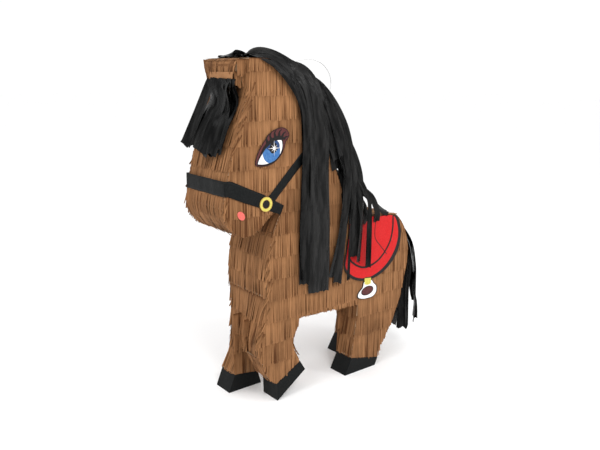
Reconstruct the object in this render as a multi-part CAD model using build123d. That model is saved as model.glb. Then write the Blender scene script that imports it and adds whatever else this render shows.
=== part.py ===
from build123d import *
import math
import os

# A horse pinata: two die-cut card side panels joined by card strips that are scored and bent
# in short flats, four box legs with black hooves, rows of fringed tissue over the card, printed
# paper tack, and paper streamers for forelock, mane and tail. It is filled through a flap in
# the back and hangs by a cord loop in the crest.
# Millimetres. +Z is up, the horse looks along -Y, its left side faces +X. The side view is drawn
# as (y, z) points, y from the lifted left front toe and z from the ground. At the end all of it
# is moved so that the origin is the middle of the footprint, on the ground.

# Overall sizes
figure_height = 493.0       # ground to the poll, card only
figure_length = 359.0       # muzzle to rump, card only
body_width = 100.0          # over the tissue on both sides

# Card and paper
panel_thickness = 3.0       # corrugated side panels
strip_thickness = 2.0       # bent edge strips, leg walls and ears
flat_length = 9.0           # between two scores on a bent stretch
tissue_thickness = 1.2      # a row of fringe with the next one over it
row_pitch = 32.0            # one row of fringe to the next
row_start = 30.0            # lowest seam above the ground
print_thickness = 0.8       # printed paper pieces

# Legs
leg_width = 36.0            # over the tissue
hoof_wall = 2.0

# Ears block, forelock and its band
ears_width = 86.0           # along the top
ears_low_width = 64.0       # along the lower edge
band_inset = 5.5            # each end of the band from the ears block's side, if it were centred
band_shift = 5.0            # towards the left side
band_height = 9.0
band_thickness = 1.0
forelock_spread = 5.0       # each edge of the forelock beyond the band's end
forelock_thickness = 3.0

# Fill flap
flap_length = 65.0          # along the back
flap_width = 60.0
flap_setback = 18.0         # withers to the flap's free edge
flap_gap = 0.6              # cut line round the flap

# Hanging loop
cord_diameter = 1.6
cord_clearance = 0.6        # hole diameter less cord diameter
patch_width = 50.0          # second card under the crest where the cord goes through
knot_radius = 2.8

# Tack
strap_thickness = 1.0
ring_outer_radius = 10.0
ring_inner_radius = 6.0
ring_from_corner = (-4.5, -8.5)     # the ring's centre, so that it lies on both straps
stirrup_length, stirrup_height = 48.0, 30.0
stirrup_opening_length, stirrup_opening_height = 22.0, 12.0
stirrup_tilt = 12.0
nostril_length, nostril_height = 14.0, 9.5
nostril_tilt = -50.0

# Hair
mane_thickness = 6.0        # each fall of streamers
mane_ridge_height = 14.0    # streamers standing over the crest
mane_ridge_inset = 8.0      # each edge of the ridge from the side of the neck
mane_cord_gap = 6.0         # diameter left open round the cord
tail_width = 60.0
soft_gap = 0.4              # between a soft piece and what it lies against

# The size the side view is drawn at
drawn_height = 493.0
drawn_length = 359.0

half_body = body_width / 2
half_card = half_body - tissue_thickness
half_strip = half_card - panel_thickness
leg_inside = half_body - leg_width + tissue_thickness
mane_ridge_width = body_width - 2 * mane_ridge_inset


def at(y, z):
    """A point of the side view at the figure's own size."""
    return (y * figure_length / drawn_length, z * figure_height / drawn_height)


def run(*points):
    return [at(y, z) for y, z in points]


def scored(*points):
    """A smooth curve through the points, as scored card follows it: in short, equal flats."""
    curve = Spline(*run(*points))
    flats = math.ceil(curve.length / flat_length)
    on_curve = [curve @ (i / flats) for i in range(flats + 1)]
    return [(p.X, p.Y) for p in on_curve]


def area(points):
    return make_face(Polyline(*points, close=True))


def grown(shape, amount):
    return offset(shape, amount)


def across(shape, x0, x1):
    """A side-view shape carried across the body from x0 to x1."""
    low, high = sorted((x0, x1))
    return extrude(Plane.YZ.offset(low) * shape, high - low)


def middle(shape, half):
    return across(shape, -half, half)


def rows(skin):
    """A tissue skin cut into its glued rows, each its own solid."""
    box = skin.bounding_box()
    first = math.floor((box.min.Z - row_start) / row_pitch)
    last = math.ceil((box.max.Z - row_start) / row_pitch)
    cut = []
    for i in range(first, last):
        slab = Box(4 * body_width, 4 * figure_length, row_pitch)
        row = skin & Pos(0, 0, row_start + (i + 0.5) * row_pitch) * slab
        if row:
            cut += row.solids()
    return Compound(cut)


# Side view. The head, neck, back and rump are the same on both panels.
neck_front = [*run((-2, 291)), *scored((5, 283), (-8, 255), (-19, 199), (-18, 162))]
muzzle = scored((-89, 300), (-82, 278), (-61, 260), (-35, 264), (-13, 285), (-2, 291))
face = scored((-46, 458), (-62, 409), (-80, 345), (-89, 300))
crest = [
    *run((-46, 493), (-25, 493)),
    *scored((-25, 493), (0, 488), (42, 452), (82, 390), (116, 312), (138, 265))[1:],
]
belly_front, belly_rear = (40, 122), (158, 117)
belly_slope = (belly_rear[1] - belly_front[1]) / (belly_rear[0] - belly_front[0])


def on_belly(y):
    return (y, belly_front[1] + (y - belly_front[0]) * belly_slope)


rump_low = on_belly(257)
rump = scored((238, 253), (260, 227), (270, 188), (265, 150), rump_low)
withers, croup = crest[-1], rump[0]
top_line = [*neck_front[::-1], *muzzle[-2::-1], *face[-2::-1], *crest, *rump]

torso = area([*top_line, *run(on_belly(-36))])
torso_tissue = grown(torso, tissue_thickness)

# Legs: front edge downwards, rear edge upwards, then the sole from heel to toe. The hoof's top
# runs from the last front point to the first rear point. The left front leg is lifted and its
# hoof tilted; the other three stand.
front_left = [(-24, 145), (-36, 98), (-32, 74), (-13, 37), (-2, 28)]
front_left_rear = [(41, 52), (31, 72), (27, 86), (31, 100), (38, 112), belly_front]
front_right = [(-16, 133), (-17, 84), (-21, 56), (-34, 27)]
front_right_rear = [(8, 21), (12, 45), (22, 80), (33, 105), belly_front]
hind_left = [belly_rear, (157, 90), (152, 57), (148, 27)]
hind_left_rear = [(207, 13), (212, 30), (223, 44), (239, 71), (245, 87), rump_low]
hind_right = [belly_rear, (185, 95), (204, 67), (202, 48), (200, 28)]
hind_right_rear = [(242, 18), (250, 45), (254, 80), rump_low]

legs = {
    "left_front": (1, front_left, front_left_rear, [(51, 36), (-1, 0)]),
    "right_front": (-1, front_right, front_right_rear, [(14, 0), (-45, 0)]),
    "left_hind": (1, hind_left, hind_left_rear, [(201, 0), (134, 0)]),
    "right_hind": (-1, hind_right, hind_right_rear, [(245, 0), (183, 0)]),
}

left_legs = [*front_left, *front_left_rear, *hind_left, *hind_left_rear[:-1]]
right_legs = [*front_right, *front_right_rear, *hind_right, *hind_right_rear[:-1]]
left_shape = area([*top_line[::-1], *run(*left_legs)])
right_shape = area([*top_line[::-1], *run(*right_legs)])

made = {}
made["left_side_panel"] = across(left_shape, half_strip, half_card)
made["right_side_panel"] = across(right_shape, -half_card, -half_strip)
made["left_side_tissue"] = rows(across(left_shape, half_card, half_body))
made["right_side_tissue"] = rows(across(right_shape, -half_body, -half_card))

# Between the front legs, down to the crotch, one card twists from the left leg's front edge to
# the right leg's.
chest_low, crotch = 162, 74
apron_left = [(-18, chest_low), (-24, 145), (-36, 98), (-32, crotch)]
apron_right = [(-18, chest_low), (-16, 133), (-17, 98), (-17, crotch)]
well_in_front = -80.0


def twisted(front_by, back_by):
    """The ruled block between the apron's two edges, front_by to back_by behind its face."""
    sections = []
    for edge, x in ((apron_left, half_body), (apron_right, -half_body)):
        points = run(*edge)
        ahead = [(y + front_by, z) for y, z in points]
        behind = [(y + back_by, z) for y, z in points]
        sections.append(Plane.YZ.offset(x) * area([*ahead, *behind[::-1]]))
    return loft(sections, ruled=True)


before_apron = twisted(well_in_front, strip_thickness)
left_side = across(left_shape, half_strip, half_body)
right_side = across(right_shape, -half_body, -half_strip)
apron_card = twisted(0, strip_thickness)
made["chest_apron"] = apron_card & Box(2 * half_strip, 4 * figure_length, 4 * figure_height)
made["chest_apron_tissue"] = rows(twisted(-tissue_thickness, 0) - left_side - right_side)

# Edge strips between the panels, each cut from the ring at the corners of the outline, with
# the fringe over them.
ring = torso - grown(torso, -strip_thickness)
ring_tissue = torso_tissue - torso
poll_cut = [(-62, 509), (-30, 477)]
muzzle_cut = [(-50, 307), (-110, 307)]
throat_cut = [(25, 310), (2, 287), (-8, 277), (-20, 262), (-40, 240)]
croup_cut = [(212, 217), (264, 289)]
withers_cut = [(118, 225), (158, 305)]
strip_regions = {
    "forehead": [*poll_cut, *muzzle_cut],
    "muzzle": [*muzzle_cut[::-1], *throat_cut, (-110, 240)],
    "chest": [*throat_cut, (-60, chest_low), (60, chest_low)],
    "belly": [(-60, 150), (245, 126), (269, 98), (269, 60), (-60, 60)],
    "rump": [(269, 98), (245, 126), (200, 180), *croup_cut, (320, 289), (320, 98)],
    "back": [*withers_cut[::-1], *croup_cut],
    "crest": [*poll_cut, (60, 330), *withers_cut, (158, 509)],
}
skins = {}
for name, region in strip_regions.items():
    made[name + "_strip"] = middle(ring & area(run(*region)), half_strip)
    skins[name + "_tissue"] = middle(ring_tissue & area(run(*region)), half_body)
made["belly_strip"] -= before_apron
skins["belly_tissue"] -= before_apron

# Fill flap: three sides are cut and the fourth folds, so it turns about the outer face of the
# tissue along its rear edge.
back_rise = math.degrees(math.atan2(croup[1] - withers[1], croup[0] - withers[0]))
back_normal = Vector(0, 0, 1).rotate(Axis.X, back_rise)
back_plane = Plane(origin=(0, *withers), x_dir=(1, 0, 0), z_dir=back_normal)


def on_back(width, start, length, low, high):
    """A block on the back: start and length go rearwards from the withers, low to high up."""
    place = Pos(0, start + length / 2, (low + high) / 2)
    return back_plane * place * Box(width, length, high - low)


mouth = on_back(
    flap_width + 2 * flap_gap, flap_setback - flap_gap, flap_length + 2 * flap_gap,
    -4 * strip_thickness, 4 * tissue_thickness,
)
made["back_strip"] -= mouth
skins["back_tissue"] -= mouth
made["fill_flap"] = on_back(flap_width, flap_setback, flap_length, -strip_thickness, 0)
made["fill_flap_tissue"] = on_back(flap_width, flap_setback, flap_length, 0, tissue_thickness)
flap_fold = back_plane * Pos(0, flap_setback + flap_length, tissue_thickness)

# Ears block: a small open-backed card box on top of the forehead, wider at the top, with its
# own fringe.
ears_top, ears_low, ears_open = (-46, 491), (-46, 458.5), -20
ears_shape = area(run(ears_top, (-56, 491), (-60, 484), (-58, 470), (-54, 462), ears_low))
behind_ears = area(run(ears_top, (ears_open, ears_top[1]), (ears_open, ears_low[1]), ears_low))
ears_flare = (ears_width - ears_low_width) / 2
ears_above, ears_below = 1.5, -0.5      # shares of the block's height that the sides are drawn to


def ears_half_at(share):
    """Half the block's width, at a share of its height from the lower edge."""
    return ears_low_width / 2 + ears_flare * share


def between_sides(shape, inset):
    """A side-view shape carried across to the block's slanting sides, inset from them."""
    corners = []
    for share in (ears_below, ears_above):
        z = at(0, ears_low[1] + (ears_top[1] - ears_low[1]) * share)[1]
        corners.append((ears_half_at(share) - inset, z))
    outline = area([*corners, *[(-x, z) for x, z in reversed(corners)]])
    return middle(shape, half_body) & extrude(Plane.XZ * outline, figure_length, both=True)


torso_block = middle(torso, half_body)
ears_card = between_sides(ears_shape, tissue_thickness) - torso_block
ears_inside = grown(ears_shape + behind_ears, -strip_thickness)
ears_cover = between_sides(grown(ears_shape, tissue_thickness), 0)
made["ears_block"] = ears_card - between_sides(ears_inside, tissue_thickness + strip_thickness)
made["ears_tissue"] = rows(ears_cover - ears_card - torso_block)
skins["forehead_tissue"] -= ears_cover

# Leg walls, their fringe and the hooves. A leg box is the side panel, an inner panel and the
# front and rear edge strips; the hoof is a box open at the top, under the leg's walls.
torso_tissue_block = middle(torso_tissue, half_body)
high_in_torso = 150
behind_apron = [on_belly(-40), on_belly(0), (0, crotch), (-40, crotch)]
for name, (side, front, rear, sole) in legs.items():
    outer, strip_out = side * half_body, side * half_strip
    wall, strip_in = side * leg_inside, side * (leg_inside + strip_thickness)
    inner = side * (leg_inside - tissue_thickness)
    whole = area(run(*front, *rear, (rear[-1][0], high_in_torso), (front[0][0], high_in_torso)))
    leg = whole - torso
    panel = leg + area(run(*behind_apron)) - torso if "front" in name else leg
    hoof = area(run(front[-1], rear[0], *sole))
    hoof_block = across(hoof, inner, outer)
    hoof_wall_in, hoof_wall_out = inner + side * hoof_wall, outer - side * hoof_wall
    hoof_inside = across(grown(whole + hoof, -hoof_wall), hoof_wall_in, hoof_wall_out)
    made[name + "_inner_panel"] = across(panel, wall, strip_in) - before_apron
    walls = across(leg - grown(whole + hoof, -strip_thickness), strip_in, strip_out)
    made[name + "_edge_strips"] = walls - before_apron
    made[name + "_hoof"] = hoof_block - hoof_inside
    cover = across(grown(panel, tissue_thickness), inner, outer)
    skin = cover - across(panel, wall, outer) - torso_tissue_block - before_apron - hoof_block
    made[name + "_tissue"] = rows(skin)
    skins["belly_tissue"] -= cover
    skins["rump_tissue"] -= cover

# Hanging loop: a cord out through the crest and back in behind it. Both ends go through a
# second card glued under the crest and are knotted below it. The first and last runs cross the
# crest at right angles.
patch_region = [(8, 500), (-14, 455), (60, 350), (108, 386)]
patch_ring = grown(torso, -strip_thickness) - grown(torso, -2 * strip_thickness)
made["hanger_patch"] = middle(patch_ring & area(run(*patch_region)), patch_width / 2)
loop_drawn = [
    (0, 23.5, 459.5), (0, 42, 478), (2, 73, 495), (4, 110, 494), (5, 134, 471), (4, 129, 438),
    (1, 100, 405), (0, 73, 389),
]
loop_points = [(x, *at(y, z)) for x, y, z in loop_drawn]
arc_share = 0.45


def tangent_radii(points):
    """A tangent arc at each corner that uses arc_share of the shorter run beside it."""
    radii = []
    for before, corner, after in zip(points, points[1:], points[2:]):
        first, second = Vector(*corner) - Vector(*before), Vector(*after) - Vector(*corner)
        half_turn = math.radians(first.get_angle(second)) / 2
        radii.append(arc_share * min(first.length, second.length) / math.tan(half_turn))
    return radii


def tube(path, diameter):
    start = Plane(origin=path @ 0, z_dir=path % 0)
    return sweep(start * Circle(diameter / 2), path=path)


loop_radii = tangent_radii(loop_points)
loop_path = FilletPolyline(*loop_points, radius=loop_radii)
made["hanging_loop"] = tube(loop_path, cord_diameter)
knots = [Pos(*(loop_path @ end)) * Sphere(knot_radius) for end in (0, 1)]
made["loop_knots"] = Compound([solid for knot in knots for solid in knot.solids()])


def loop_hole(inner, outer, diameter):
    """A straight hole from inner towards outer, along one of the cord's end runs."""
    reach = 2 * mane_ridge_height
    plane = Plane(origin=inner, z_dir=Vector(*outer) - Vector(*inner))
    return plane * Pos(0, 0, reach / 2) * Cylinder(diameter / 2, reach)


end_runs = [(loop_points[0], loop_points[1]), (loop_points[-1], loop_points[-2])]
for end_run in end_runs:
    hole = loop_hole(*end_run, cord_diameter + cord_clearance)
    made["hanger_patch"] -= hole
    made["crest_strip"] -= hole
    skins["crest_tissue"] -= hole

# Streamers, as simple closed solids: the ridge that stands over the crest, a fall down each
# side of the neck, the tail behind the rump and the forelock under its band.
ridge_region = [
    (-26, 530), (-26, 490), (-6, 470), (60, 380), (118, 262), (148, 262), (150, 310), (120, 530),
]
ridge_top = grown(torso, tissue_thickness + mane_ridge_height)
ridge = ridge_top - grown(torso, tissue_thickness + soft_gap)
made["mane_ridge"] = middle(ridge & area(run(*ridge_region)), mane_ridge_width / 2)
for end_run in end_runs:
    made["mane_ridge"] -= loop_hole(*end_run, mane_cord_gap)
mane_top = [(-8, 485), (42, 452), (82, 390), (116, 312), (138, 266)]
mane_left = [
    (-8, 485), (20, 484), (45, 472), (80, 434), (107, 410), (130, 372), (143, 333), (160, 308),
    (186, 283), (190, 250), (180, 178), (150, 190), (132, 165), (113, 172), (98, 175), (85, 159),
    (60, 159), (39, 173), (44, 230), (50, 300), (50, 384), (51, 418), (37, 443), (10, 470),
]
mane_right = [
    *mane_top, (150, 258), (146, 205), (120, 195), (92, 205), (62, 214), (50, 300), (51, 418),
    (37, 443), (10, 470),
]
mane_inner = half_body + strap_thickness + print_thickness + soft_gap
made["mane_left_fall"] = across(area(run(*mane_left)), mane_inner, mane_inner + mane_thickness)
made["mane_right_fall"] = across(area(run(*mane_right)), -mane_inner, -mane_inner - mane_thickness)

tail = [
    (263.5, 229), (280, 226), (303, 195), (318, 145), (325, 85), (316, 38), (288, 38), (299, 85),
    (292, 140), (282, 170), (274, 195), (269.5, 212),
]
made["tail"] = middle(area(run(*tail)), tail_width / 2)

band_low = 466
band_slab = Box(2 * ears_width, 2 * band_height, band_height)
front_of_ears = Pos(0, *at(-60, band_low)) * Pos(0, 0, band_height / 2) * band_slab
band = grown(ears_shape, tissue_thickness + band_thickness) - grown(ears_shape, tissue_thickness)
band_share = (band_low - ears_low[1]) / (ears_top[1] - ears_low[1])
band_half = ears_half_at(band_share) - band_inset
band_right, band_left = band_shift - band_half, band_shift + band_half
made["forelock_band"] = across(band, band_right, band_left) & front_of_ears
forelock_top = (-58.5, band_low - soft_gap)
forelock_back = run(forelock_top, (-61, 440), (-67, 415), (-73, 390), (-79.5, 366))
forelock_front = [(y - forelock_thickness, z) for y, z in forelock_back]
forelock_shape = area([*forelock_back, *forelock_front[::-1]])
forelock_right, forelock_left = band_right - forelock_spread, band_left + forelock_spread
made["forelock"] = across(forelock_shape, forelock_right, forelock_left)

# Printed paper and tack, the same on both sides.
strap_cover = grown(torso, tissue_thickness + strap_thickness)
noseband_shape = area(run(
    (-120, 337), (-80, 337), (-28, 314), (8, 295), (3, 282), (-28, 295), (-82, 316), (-120, 316)
))
noseband_block = middle(strap_cover & noseband_shape, half_body + strap_thickness)
made["noseband"] = noseband_block - middle(torso_tissue, half_body)
cheek_strap = area(run((-21, 305), (58, 384), (66, 374), (-12, 298))) - noseband_shape
strap_corner = (-17.5, 308.5)   # where the cheek strap's front edge leaves the noseband
eye_edge = run(
    (-37, 358), (-27, 353), (-6, 355), (8, 365), (11, 383), (16, 391), (9, 399), (1, 402),
    (-14, 399), (-27, 385), (-35, 368),
)
eye = make_face(Spline(*eye_edge, periodic=True))
saddle_rear, saddle_withers, saddle_front = (238, 251.5), (138, 263.5), (128, 205)
saddle_skirt = run(
    saddle_front, (125, 178), (161, 153), (194, 155), (228, 169), (247, 195), (249, 217), saddle_rear,
)
saddle = make_face(
    [Polyline(*run(saddle_rear, saddle_withers, saddle_front)), Spline(*saddle_skirt)]
)


def ellipse_at(place, tilt, length, height):
    return Pos(*at(*place)) * Rot(0, 0, tilt) * Ellipse(length / 2, height / 2)


stirrup_tab = area(run((171, 157), (186, 157), (184, 140), (173, 140)))
stirrup_plate = ellipse_at((178, 133), stirrup_tilt, stirrup_length, stirrup_height)
stirrup_opening = ellipse_at(
    (178, 132), stirrup_tilt, stirrup_opening_length, stirrup_opening_height,
)
stirrup = stirrup_plate - stirrup_opening + stirrup_tab - saddle
ring_place = Pos(*at(*strap_corner)) * Pos(*ring_from_corner)
bridle_ring = ring_place * (Circle(ring_outer_radius) - Circle(ring_inner_radius))
nostril = ellipse_at((-62, 288.6), nostril_tilt, nostril_length, nostril_height)


def both_sides(shape, inner, thick):
    """The same flat piece on the left and on the right, its inner face at inner."""
    return [across(shape, side * inner, side * (inner + thick)) for side in (1, -1)]


printed = {
    "eye": both_sides(eye, half_body, print_thickness),
    "saddle": both_sides(saddle, half_body, print_thickness),
    "stirrup": both_sides(stirrup, half_body, print_thickness),
    "cheek_strap": both_sides(cheek_strap, half_body, strap_thickness),
}
for name, (left, right) in printed.items():
    made["left_" + name] = left
    made["right_" + name] = right
nostril_pair = both_sides(nostril, half_body, print_thickness)
ring_pair = both_sides(bridle_ring, half_body + strap_thickness, print_thickness)
made["nostrils"] = Compound([solid for piece in nostril_pair for solid in piece.solids()])
made["bridle_rings"] = Compound([solid for piece in ring_pair for solid in piece.solids()])

for name, skin in skins.items():
    made[name] = rows(skin)

# The origin is the middle of the footprint of everything but the cord and its knots.
on_the_cord = ("hanging_loop", "loop_knots")
off_the_cord = [shape for name, shape in made.items() if name not in on_the_cord]
solid_box = Compound([solid for shape in off_the_cord for solid in shape.solids()]).bounding_box()
to_origin = Pos(-solid_box.center().X, -solid_box.center().Y, -solid_box.min.Z)

os.makedirs("parts", exist_ok=True)
for name, shape in made.items():
    placed = to_origin * shape
    export_step(placed, f"parts/{name}.step")
    print(name, len(placed.solids()), round(placed.volume), placed.bounding_box().size)

print("moved to the origin by", to_origin.position)
print("flap fold", (to_origin * flap_fold).position, "back rise", round(back_rise, 2))
print("loop radii", [round(r, 1) for r in loop_radii], "length", round(loop_path.length, 1))
cord_section = math.pi * (cord_diameter / 2) ** 2
print("loop volume", made["hanging_loop"].volume, "expected", cord_section * loop_path.length)
print("whole size", solid_box.size)
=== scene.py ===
import math

import bpy
import numpy as np
from mathutils import Matrix, Vector


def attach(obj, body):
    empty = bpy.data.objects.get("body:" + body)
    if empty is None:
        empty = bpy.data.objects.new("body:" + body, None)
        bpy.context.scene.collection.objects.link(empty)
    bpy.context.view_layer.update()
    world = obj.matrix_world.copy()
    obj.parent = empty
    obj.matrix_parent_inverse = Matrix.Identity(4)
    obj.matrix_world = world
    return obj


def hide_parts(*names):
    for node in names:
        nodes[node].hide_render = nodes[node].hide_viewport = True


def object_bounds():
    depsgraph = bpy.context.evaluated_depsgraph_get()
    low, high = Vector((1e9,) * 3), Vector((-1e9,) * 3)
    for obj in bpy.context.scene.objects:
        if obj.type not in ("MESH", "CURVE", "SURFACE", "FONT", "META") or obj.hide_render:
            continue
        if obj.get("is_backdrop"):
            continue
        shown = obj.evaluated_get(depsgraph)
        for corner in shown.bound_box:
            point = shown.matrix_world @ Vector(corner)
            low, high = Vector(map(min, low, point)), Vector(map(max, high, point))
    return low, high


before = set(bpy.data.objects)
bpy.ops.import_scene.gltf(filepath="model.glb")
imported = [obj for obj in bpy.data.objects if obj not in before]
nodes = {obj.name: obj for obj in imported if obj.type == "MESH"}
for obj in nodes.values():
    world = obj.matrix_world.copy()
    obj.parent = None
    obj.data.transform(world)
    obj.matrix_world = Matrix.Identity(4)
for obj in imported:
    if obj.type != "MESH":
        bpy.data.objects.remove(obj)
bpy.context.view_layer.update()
rng = np.random.default_rng(11)

# Side-view places are in millimetres as the CAD draws them: y from about the left front toe, z from
# the ground. The frame's origin is the middle of the footprint
toeToOrigin = 117.4
halfBody = 0.050
halfCard = 0.0488
acrossBody = (-halfCard, halfCard)
rowPitch = 0.032
rowStart = 0.030
rowCount = 16
bothSides = ((1, "left"), (-1, "right"))


def fromDrawing(points):
    return (np.array(points, float) - (toeToOrigin, 0)) / 1000


def inSpace(points):
    # the same for (x, y, z)
    return (np.array(points, float) - (0, toeToOrigin, 0)) / 1000


def addObject(name, data):
    made = bpy.data.objects.new(name, data)
    bpy.context.scene.collection.objects.link(made)
    return made


# Camera: its place in metres, its turn, tip and roll in degrees, its lens in millimetres
camera = {"at": (0.7631, -0.6488, 0.4744), "turn": 51.367, "down": 13.064, "roll": 0.5125, "lens": 39.28}
turn, down, roll = (math.radians(camera[k]) for k in ("turn", "down", "roll"))
ahead = Vector((-math.sin(turn) * math.cos(down), math.cos(turn) * math.cos(down), -math.sin(down)))
right = Vector((math.cos(turn), math.sin(turn), 0))
above = right.cross(ahead)
rolledRight = right * math.cos(roll) + above * math.sin(roll)
rolledUp = above * math.cos(roll) - right * math.sin(roll)
cameraData = bpy.data.cameras.new("camera")
cameraData.lens = camera["lens"]
cameraData.sensor_width = 36
cameraObject = addObject("camera", cameraData)
axes = Matrix((rolledRight, rolledUp, -ahead)).transposed().to_4x4()
cameraObject.matrix_world = Matrix.Translation(camera["at"]) @ axes
bpy.context.scene.camera = cameraObject
bpy.context.scene.view_settings.view_transform = "Standard"
print("camera done")


# Materials, all made of shader nodes
def startMaterial(name):
    material = bpy.data.materials.new(name)
    material.use_nodes = True
    tree = material.node_tree
    tree.nodes.clear()
    output = tree.nodes.new("ShaderNodeOutputMaterial")
    shader = tree.nodes.new("ShaderNodeBsdfPrincipled")
    tree.links.new(shader.outputs[0], output.inputs["Surface"])
    return material, tree, shader


def put(tree, kind, inputs=None, **settings):
    made = tree.nodes.new("ShaderNode" + kind)
    for key, value in settings.items():
        setattr(made, key, value)
    for key, value in (inputs or {}).items():
        feed(tree, made.inputs[key], value)
    return made


def feed(tree, socket, value):
    if isinstance(value, bpy.types.NodeSocket):
        tree.links.new(value, socket)
    else:
        socket.default_value = value


def grain(tree, source, stretch, scale, detail=4.0):
    mapping = put(tree, "Mapping", {"Vector": source, "Scale": stretch})
    noise = put(tree, "TexNoise", {"Vector": mapping.outputs[0], "Scale": scale, "Detail": detail})
    return noise.outputs["Fac"]


def ramp(tree, value, low, high):
    made = put(tree, "ValToRGB", {"Fac": value})
    made.color_ramp.elements[0].position, made.color_ramp.elements[0].color = low[0], (*low[1], 1)
    made.color_ramp.elements[1].position, made.color_ramp.elements[1].color = high[0], (*high[1], 1)
    return made.outputs["Color"]


def blendColours(tree, kind, share, first, second):
    made = put(tree, "Mix", data_type="RGBA", blend_type=kind)
    feed(tree, made.inputs[0], share)
    feed(tree, made.inputs[6], first)
    feed(tree, made.inputs[7], second)
    return made.outputs[2]


def bump(tree, shader, height, distance, strength=1.0):
    made = put(tree, "Bump", {"Height": height, "Distance": distance, "Strength": strength})
    feed(tree, shader.inputs["Normal"], made.outputs[0])


def objectPlace(tree):
    return put(tree, "TexCoord").outputs["Object"]


def strandInputs(tree):
    # the place across and along a strand, in metres, and the strand's own tint, which carries painted light
    # and shade as well as its tone
    along = put(tree, "UVMap", uv_map="strand").outputs[0]
    return along, put(tree, "Attribute", attribute_name="tint").outputs["Fac"]


def weighed(tree, value, share, rest=0.0):
    # value times share, plus the rest
    return put(tree, "Math", {0: value, 1: share, 2: rest}, operation="MULTIPLY_ADD").outputs[0]


def surfaceOf(tree, shader, colour, specular, roughness, value=None, spread=(0, 0)):
    # roughness follows value, below and above its own by the spread, where a value is given
    feed(tree, shader.inputs["Base Color"], colour)
    shader.inputs["Specular IOR Level"].default_value = specular
    shader.inputs["Roughness"].default_value = roughness
    if value is not None:
        limits = {"Value": value, "To Min": roughness - spread[0], "To Max": roughness + spread[1]}
        feed(tree, shader.inputs["Roughness"], put(tree, "MapRange", limits).outputs[0])


def tissueMaterial(name, dark, light):
    # tissue paper: each strand has its own tint, painted shade included, with fibres along it and soft
    # blotches over all
    material, tree, shader = startMaterial(name)
    along, tint = strandInputs(tree)
    fibres = grain(tree, along, (1.0, 0.06, 1.0), 900.0)
    blotches = grain(tree, objectPlace(tree), (1, 1, 1), 26.0)
    mixed = weighed(tree, fibres, 0.45, weighed(tree, tint, 0.55))
    colour = ramp(tree, mixed, (0.26, dark), (0.77, light))
    shade = ramp(tree, blotches, (0.3, (0.78, 0.76, 0.74)), (0.7, (1.08, 1.06, 1.04)))
    surfaceOf(tree, shader, blendColours(tree, "MULTIPLY", 1.0, colour, shade), 0.12, 0.8)
    bump(tree, shader, fibres, 0.00025, 0.7)
    return material


def crepeMaterial(name, dark, light, roughness):
    # crepe streamer: near black, with fine ribs along it and long soft creases, paler along the creases as a
    # painted sheen
    material, tree, shader = startMaterial(name)
    along, tint = strandInputs(tree)
    ribs = grain(tree, along, (1.0, 0.03, 1.0), 1400.0, 3.0)
    creases = grain(tree, along, (1.0, 0.18, 1.0), 130.0, 3.0)
    creaseSheen = put(tree, "MapRange", {"Value": creases, "From Min": 0.38, "From Max": 0.62}).outputs[0]
    mixed = weighed(tree, creaseSheen, 0.6, weighed(tree, tint, 0.4))
    colour = ramp(tree, mixed, (0.1, dark), (0.95, light))
    surfaceOf(tree, shader, colour, 0.10, roughness, creaseSheen, (0.1, 0.12))
    bump(tree, shader, weighed(tree, creases, 4.0, ribs), 0.0005, 0.9)
    return material


def paperMaterial(name, dark, light, roughness=0.45, shine=0.2):
    # smooth printed or covered paper: faint fibres in the ink and slow ripples in the sheet
    material, tree, shader = startMaterial(name)
    place = objectPlace(tree)
    fibres = grain(tree, place, (1, 1, 1), 420.0, 5.0)
    ripples = grain(tree, place, (1, 1, 1), 38.0, 2.0)
    colour = ramp(tree, fibres, (0.3, dark), (0.7, light))
    surfaceOf(tree, shader, colour, shine, roughness, ripples, (0.08, 0.1))
    bump(tree, shader, weighed(tree, ripples, 4.0, fibres), 0.0004, 0.6)
    return material


def cardMaterial(name, dark, light):
    # corrugated board: brown fibres with the flutes showing as faint bars
    material, tree, shader = startMaterial(name)
    place = objectPlace(tree)
    fibres = grain(tree, place, (1, 6, 1), 160.0, 6.0)
    flutes = put(tree, "TexWave", {"Vector": place, "Scale": 50.0, "Distortion": 0.6}, bands_direction="Y")
    colour = ramp(tree, fibres, (0.25, dark), (0.75, light))
    bars = ramp(tree, flutes.outputs["Fac"], (0.0, (0.9, 0.89, 0.87)), (1.0, (1.0, 1.0, 1.0)))
    surfaceOf(tree, shader, blendColours(tree, "MULTIPLY", 1.0, colour, bars), 0.5, 0.82)
    bump(tree, shader, flutes.outputs["Fac"], 0.0003, 0.4)
    return material


brownTissue = tissueMaterial("brownTissue", (0.100, 0.038, 0.013), (0.345, 0.172, 0.076))
bandTissue = tissueMaterial("bandTissue", (0.28, 0.135, 0.060), (0.36, 0.185, 0.086))
blackCrepe = crepeMaterial("blackCrepe", (0.0003, 0.0004, 0.0004), (0.0180, 0.0177, 0.0174), 0.24)
blackPaper = paperMaterial("blackPaper", (0.0020, 0.0024, 0.0026), (0.0070, 0.0080, 0.0080), 0.5, 0.11)
brownCard = cardMaterial("brownCard", (0.25, 0.15, 0.08), (0.42, 0.28, 0.17))
redInk = paperMaterial("redInk", (0.48, 0.010, 0.011), (0.56, 0.016, 0.017), shine=0.12)
blackInk = paperMaterial("blackInk", (0.004, 0.003, 0.003), (0.010, 0.007, 0.007))
whiteInk = paperMaterial("whiteInk", (0.74, 0.73, 0.73), (0.83, 0.82, 0.82))
maroonInk = paperMaterial("maroonInk", (0.060, 0.014, 0.014), (0.105, 0.026, 0.025))
darkMaroonInk = paperMaterial("darkMaroonInk", (0.016, 0.004, 0.004), (0.030, 0.008, 0.008))
yellowInk = paperMaterial("yellowInk", (0.50, 0.44, 0.070), (0.62, 0.56, 0.13))
pinkInk = paperMaterial("pinkInk", (0.60, 0.095, 0.080), (0.70, 0.15, 0.12))
goldInk = paperMaterial("goldInk", (0.36, 0.22, 0.05), (0.50, 0.33, 0.09))
irisInk = paperMaterial("irisInk", (0.026, 0.105, 0.30), (0.060, 0.175, 0.39))
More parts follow.
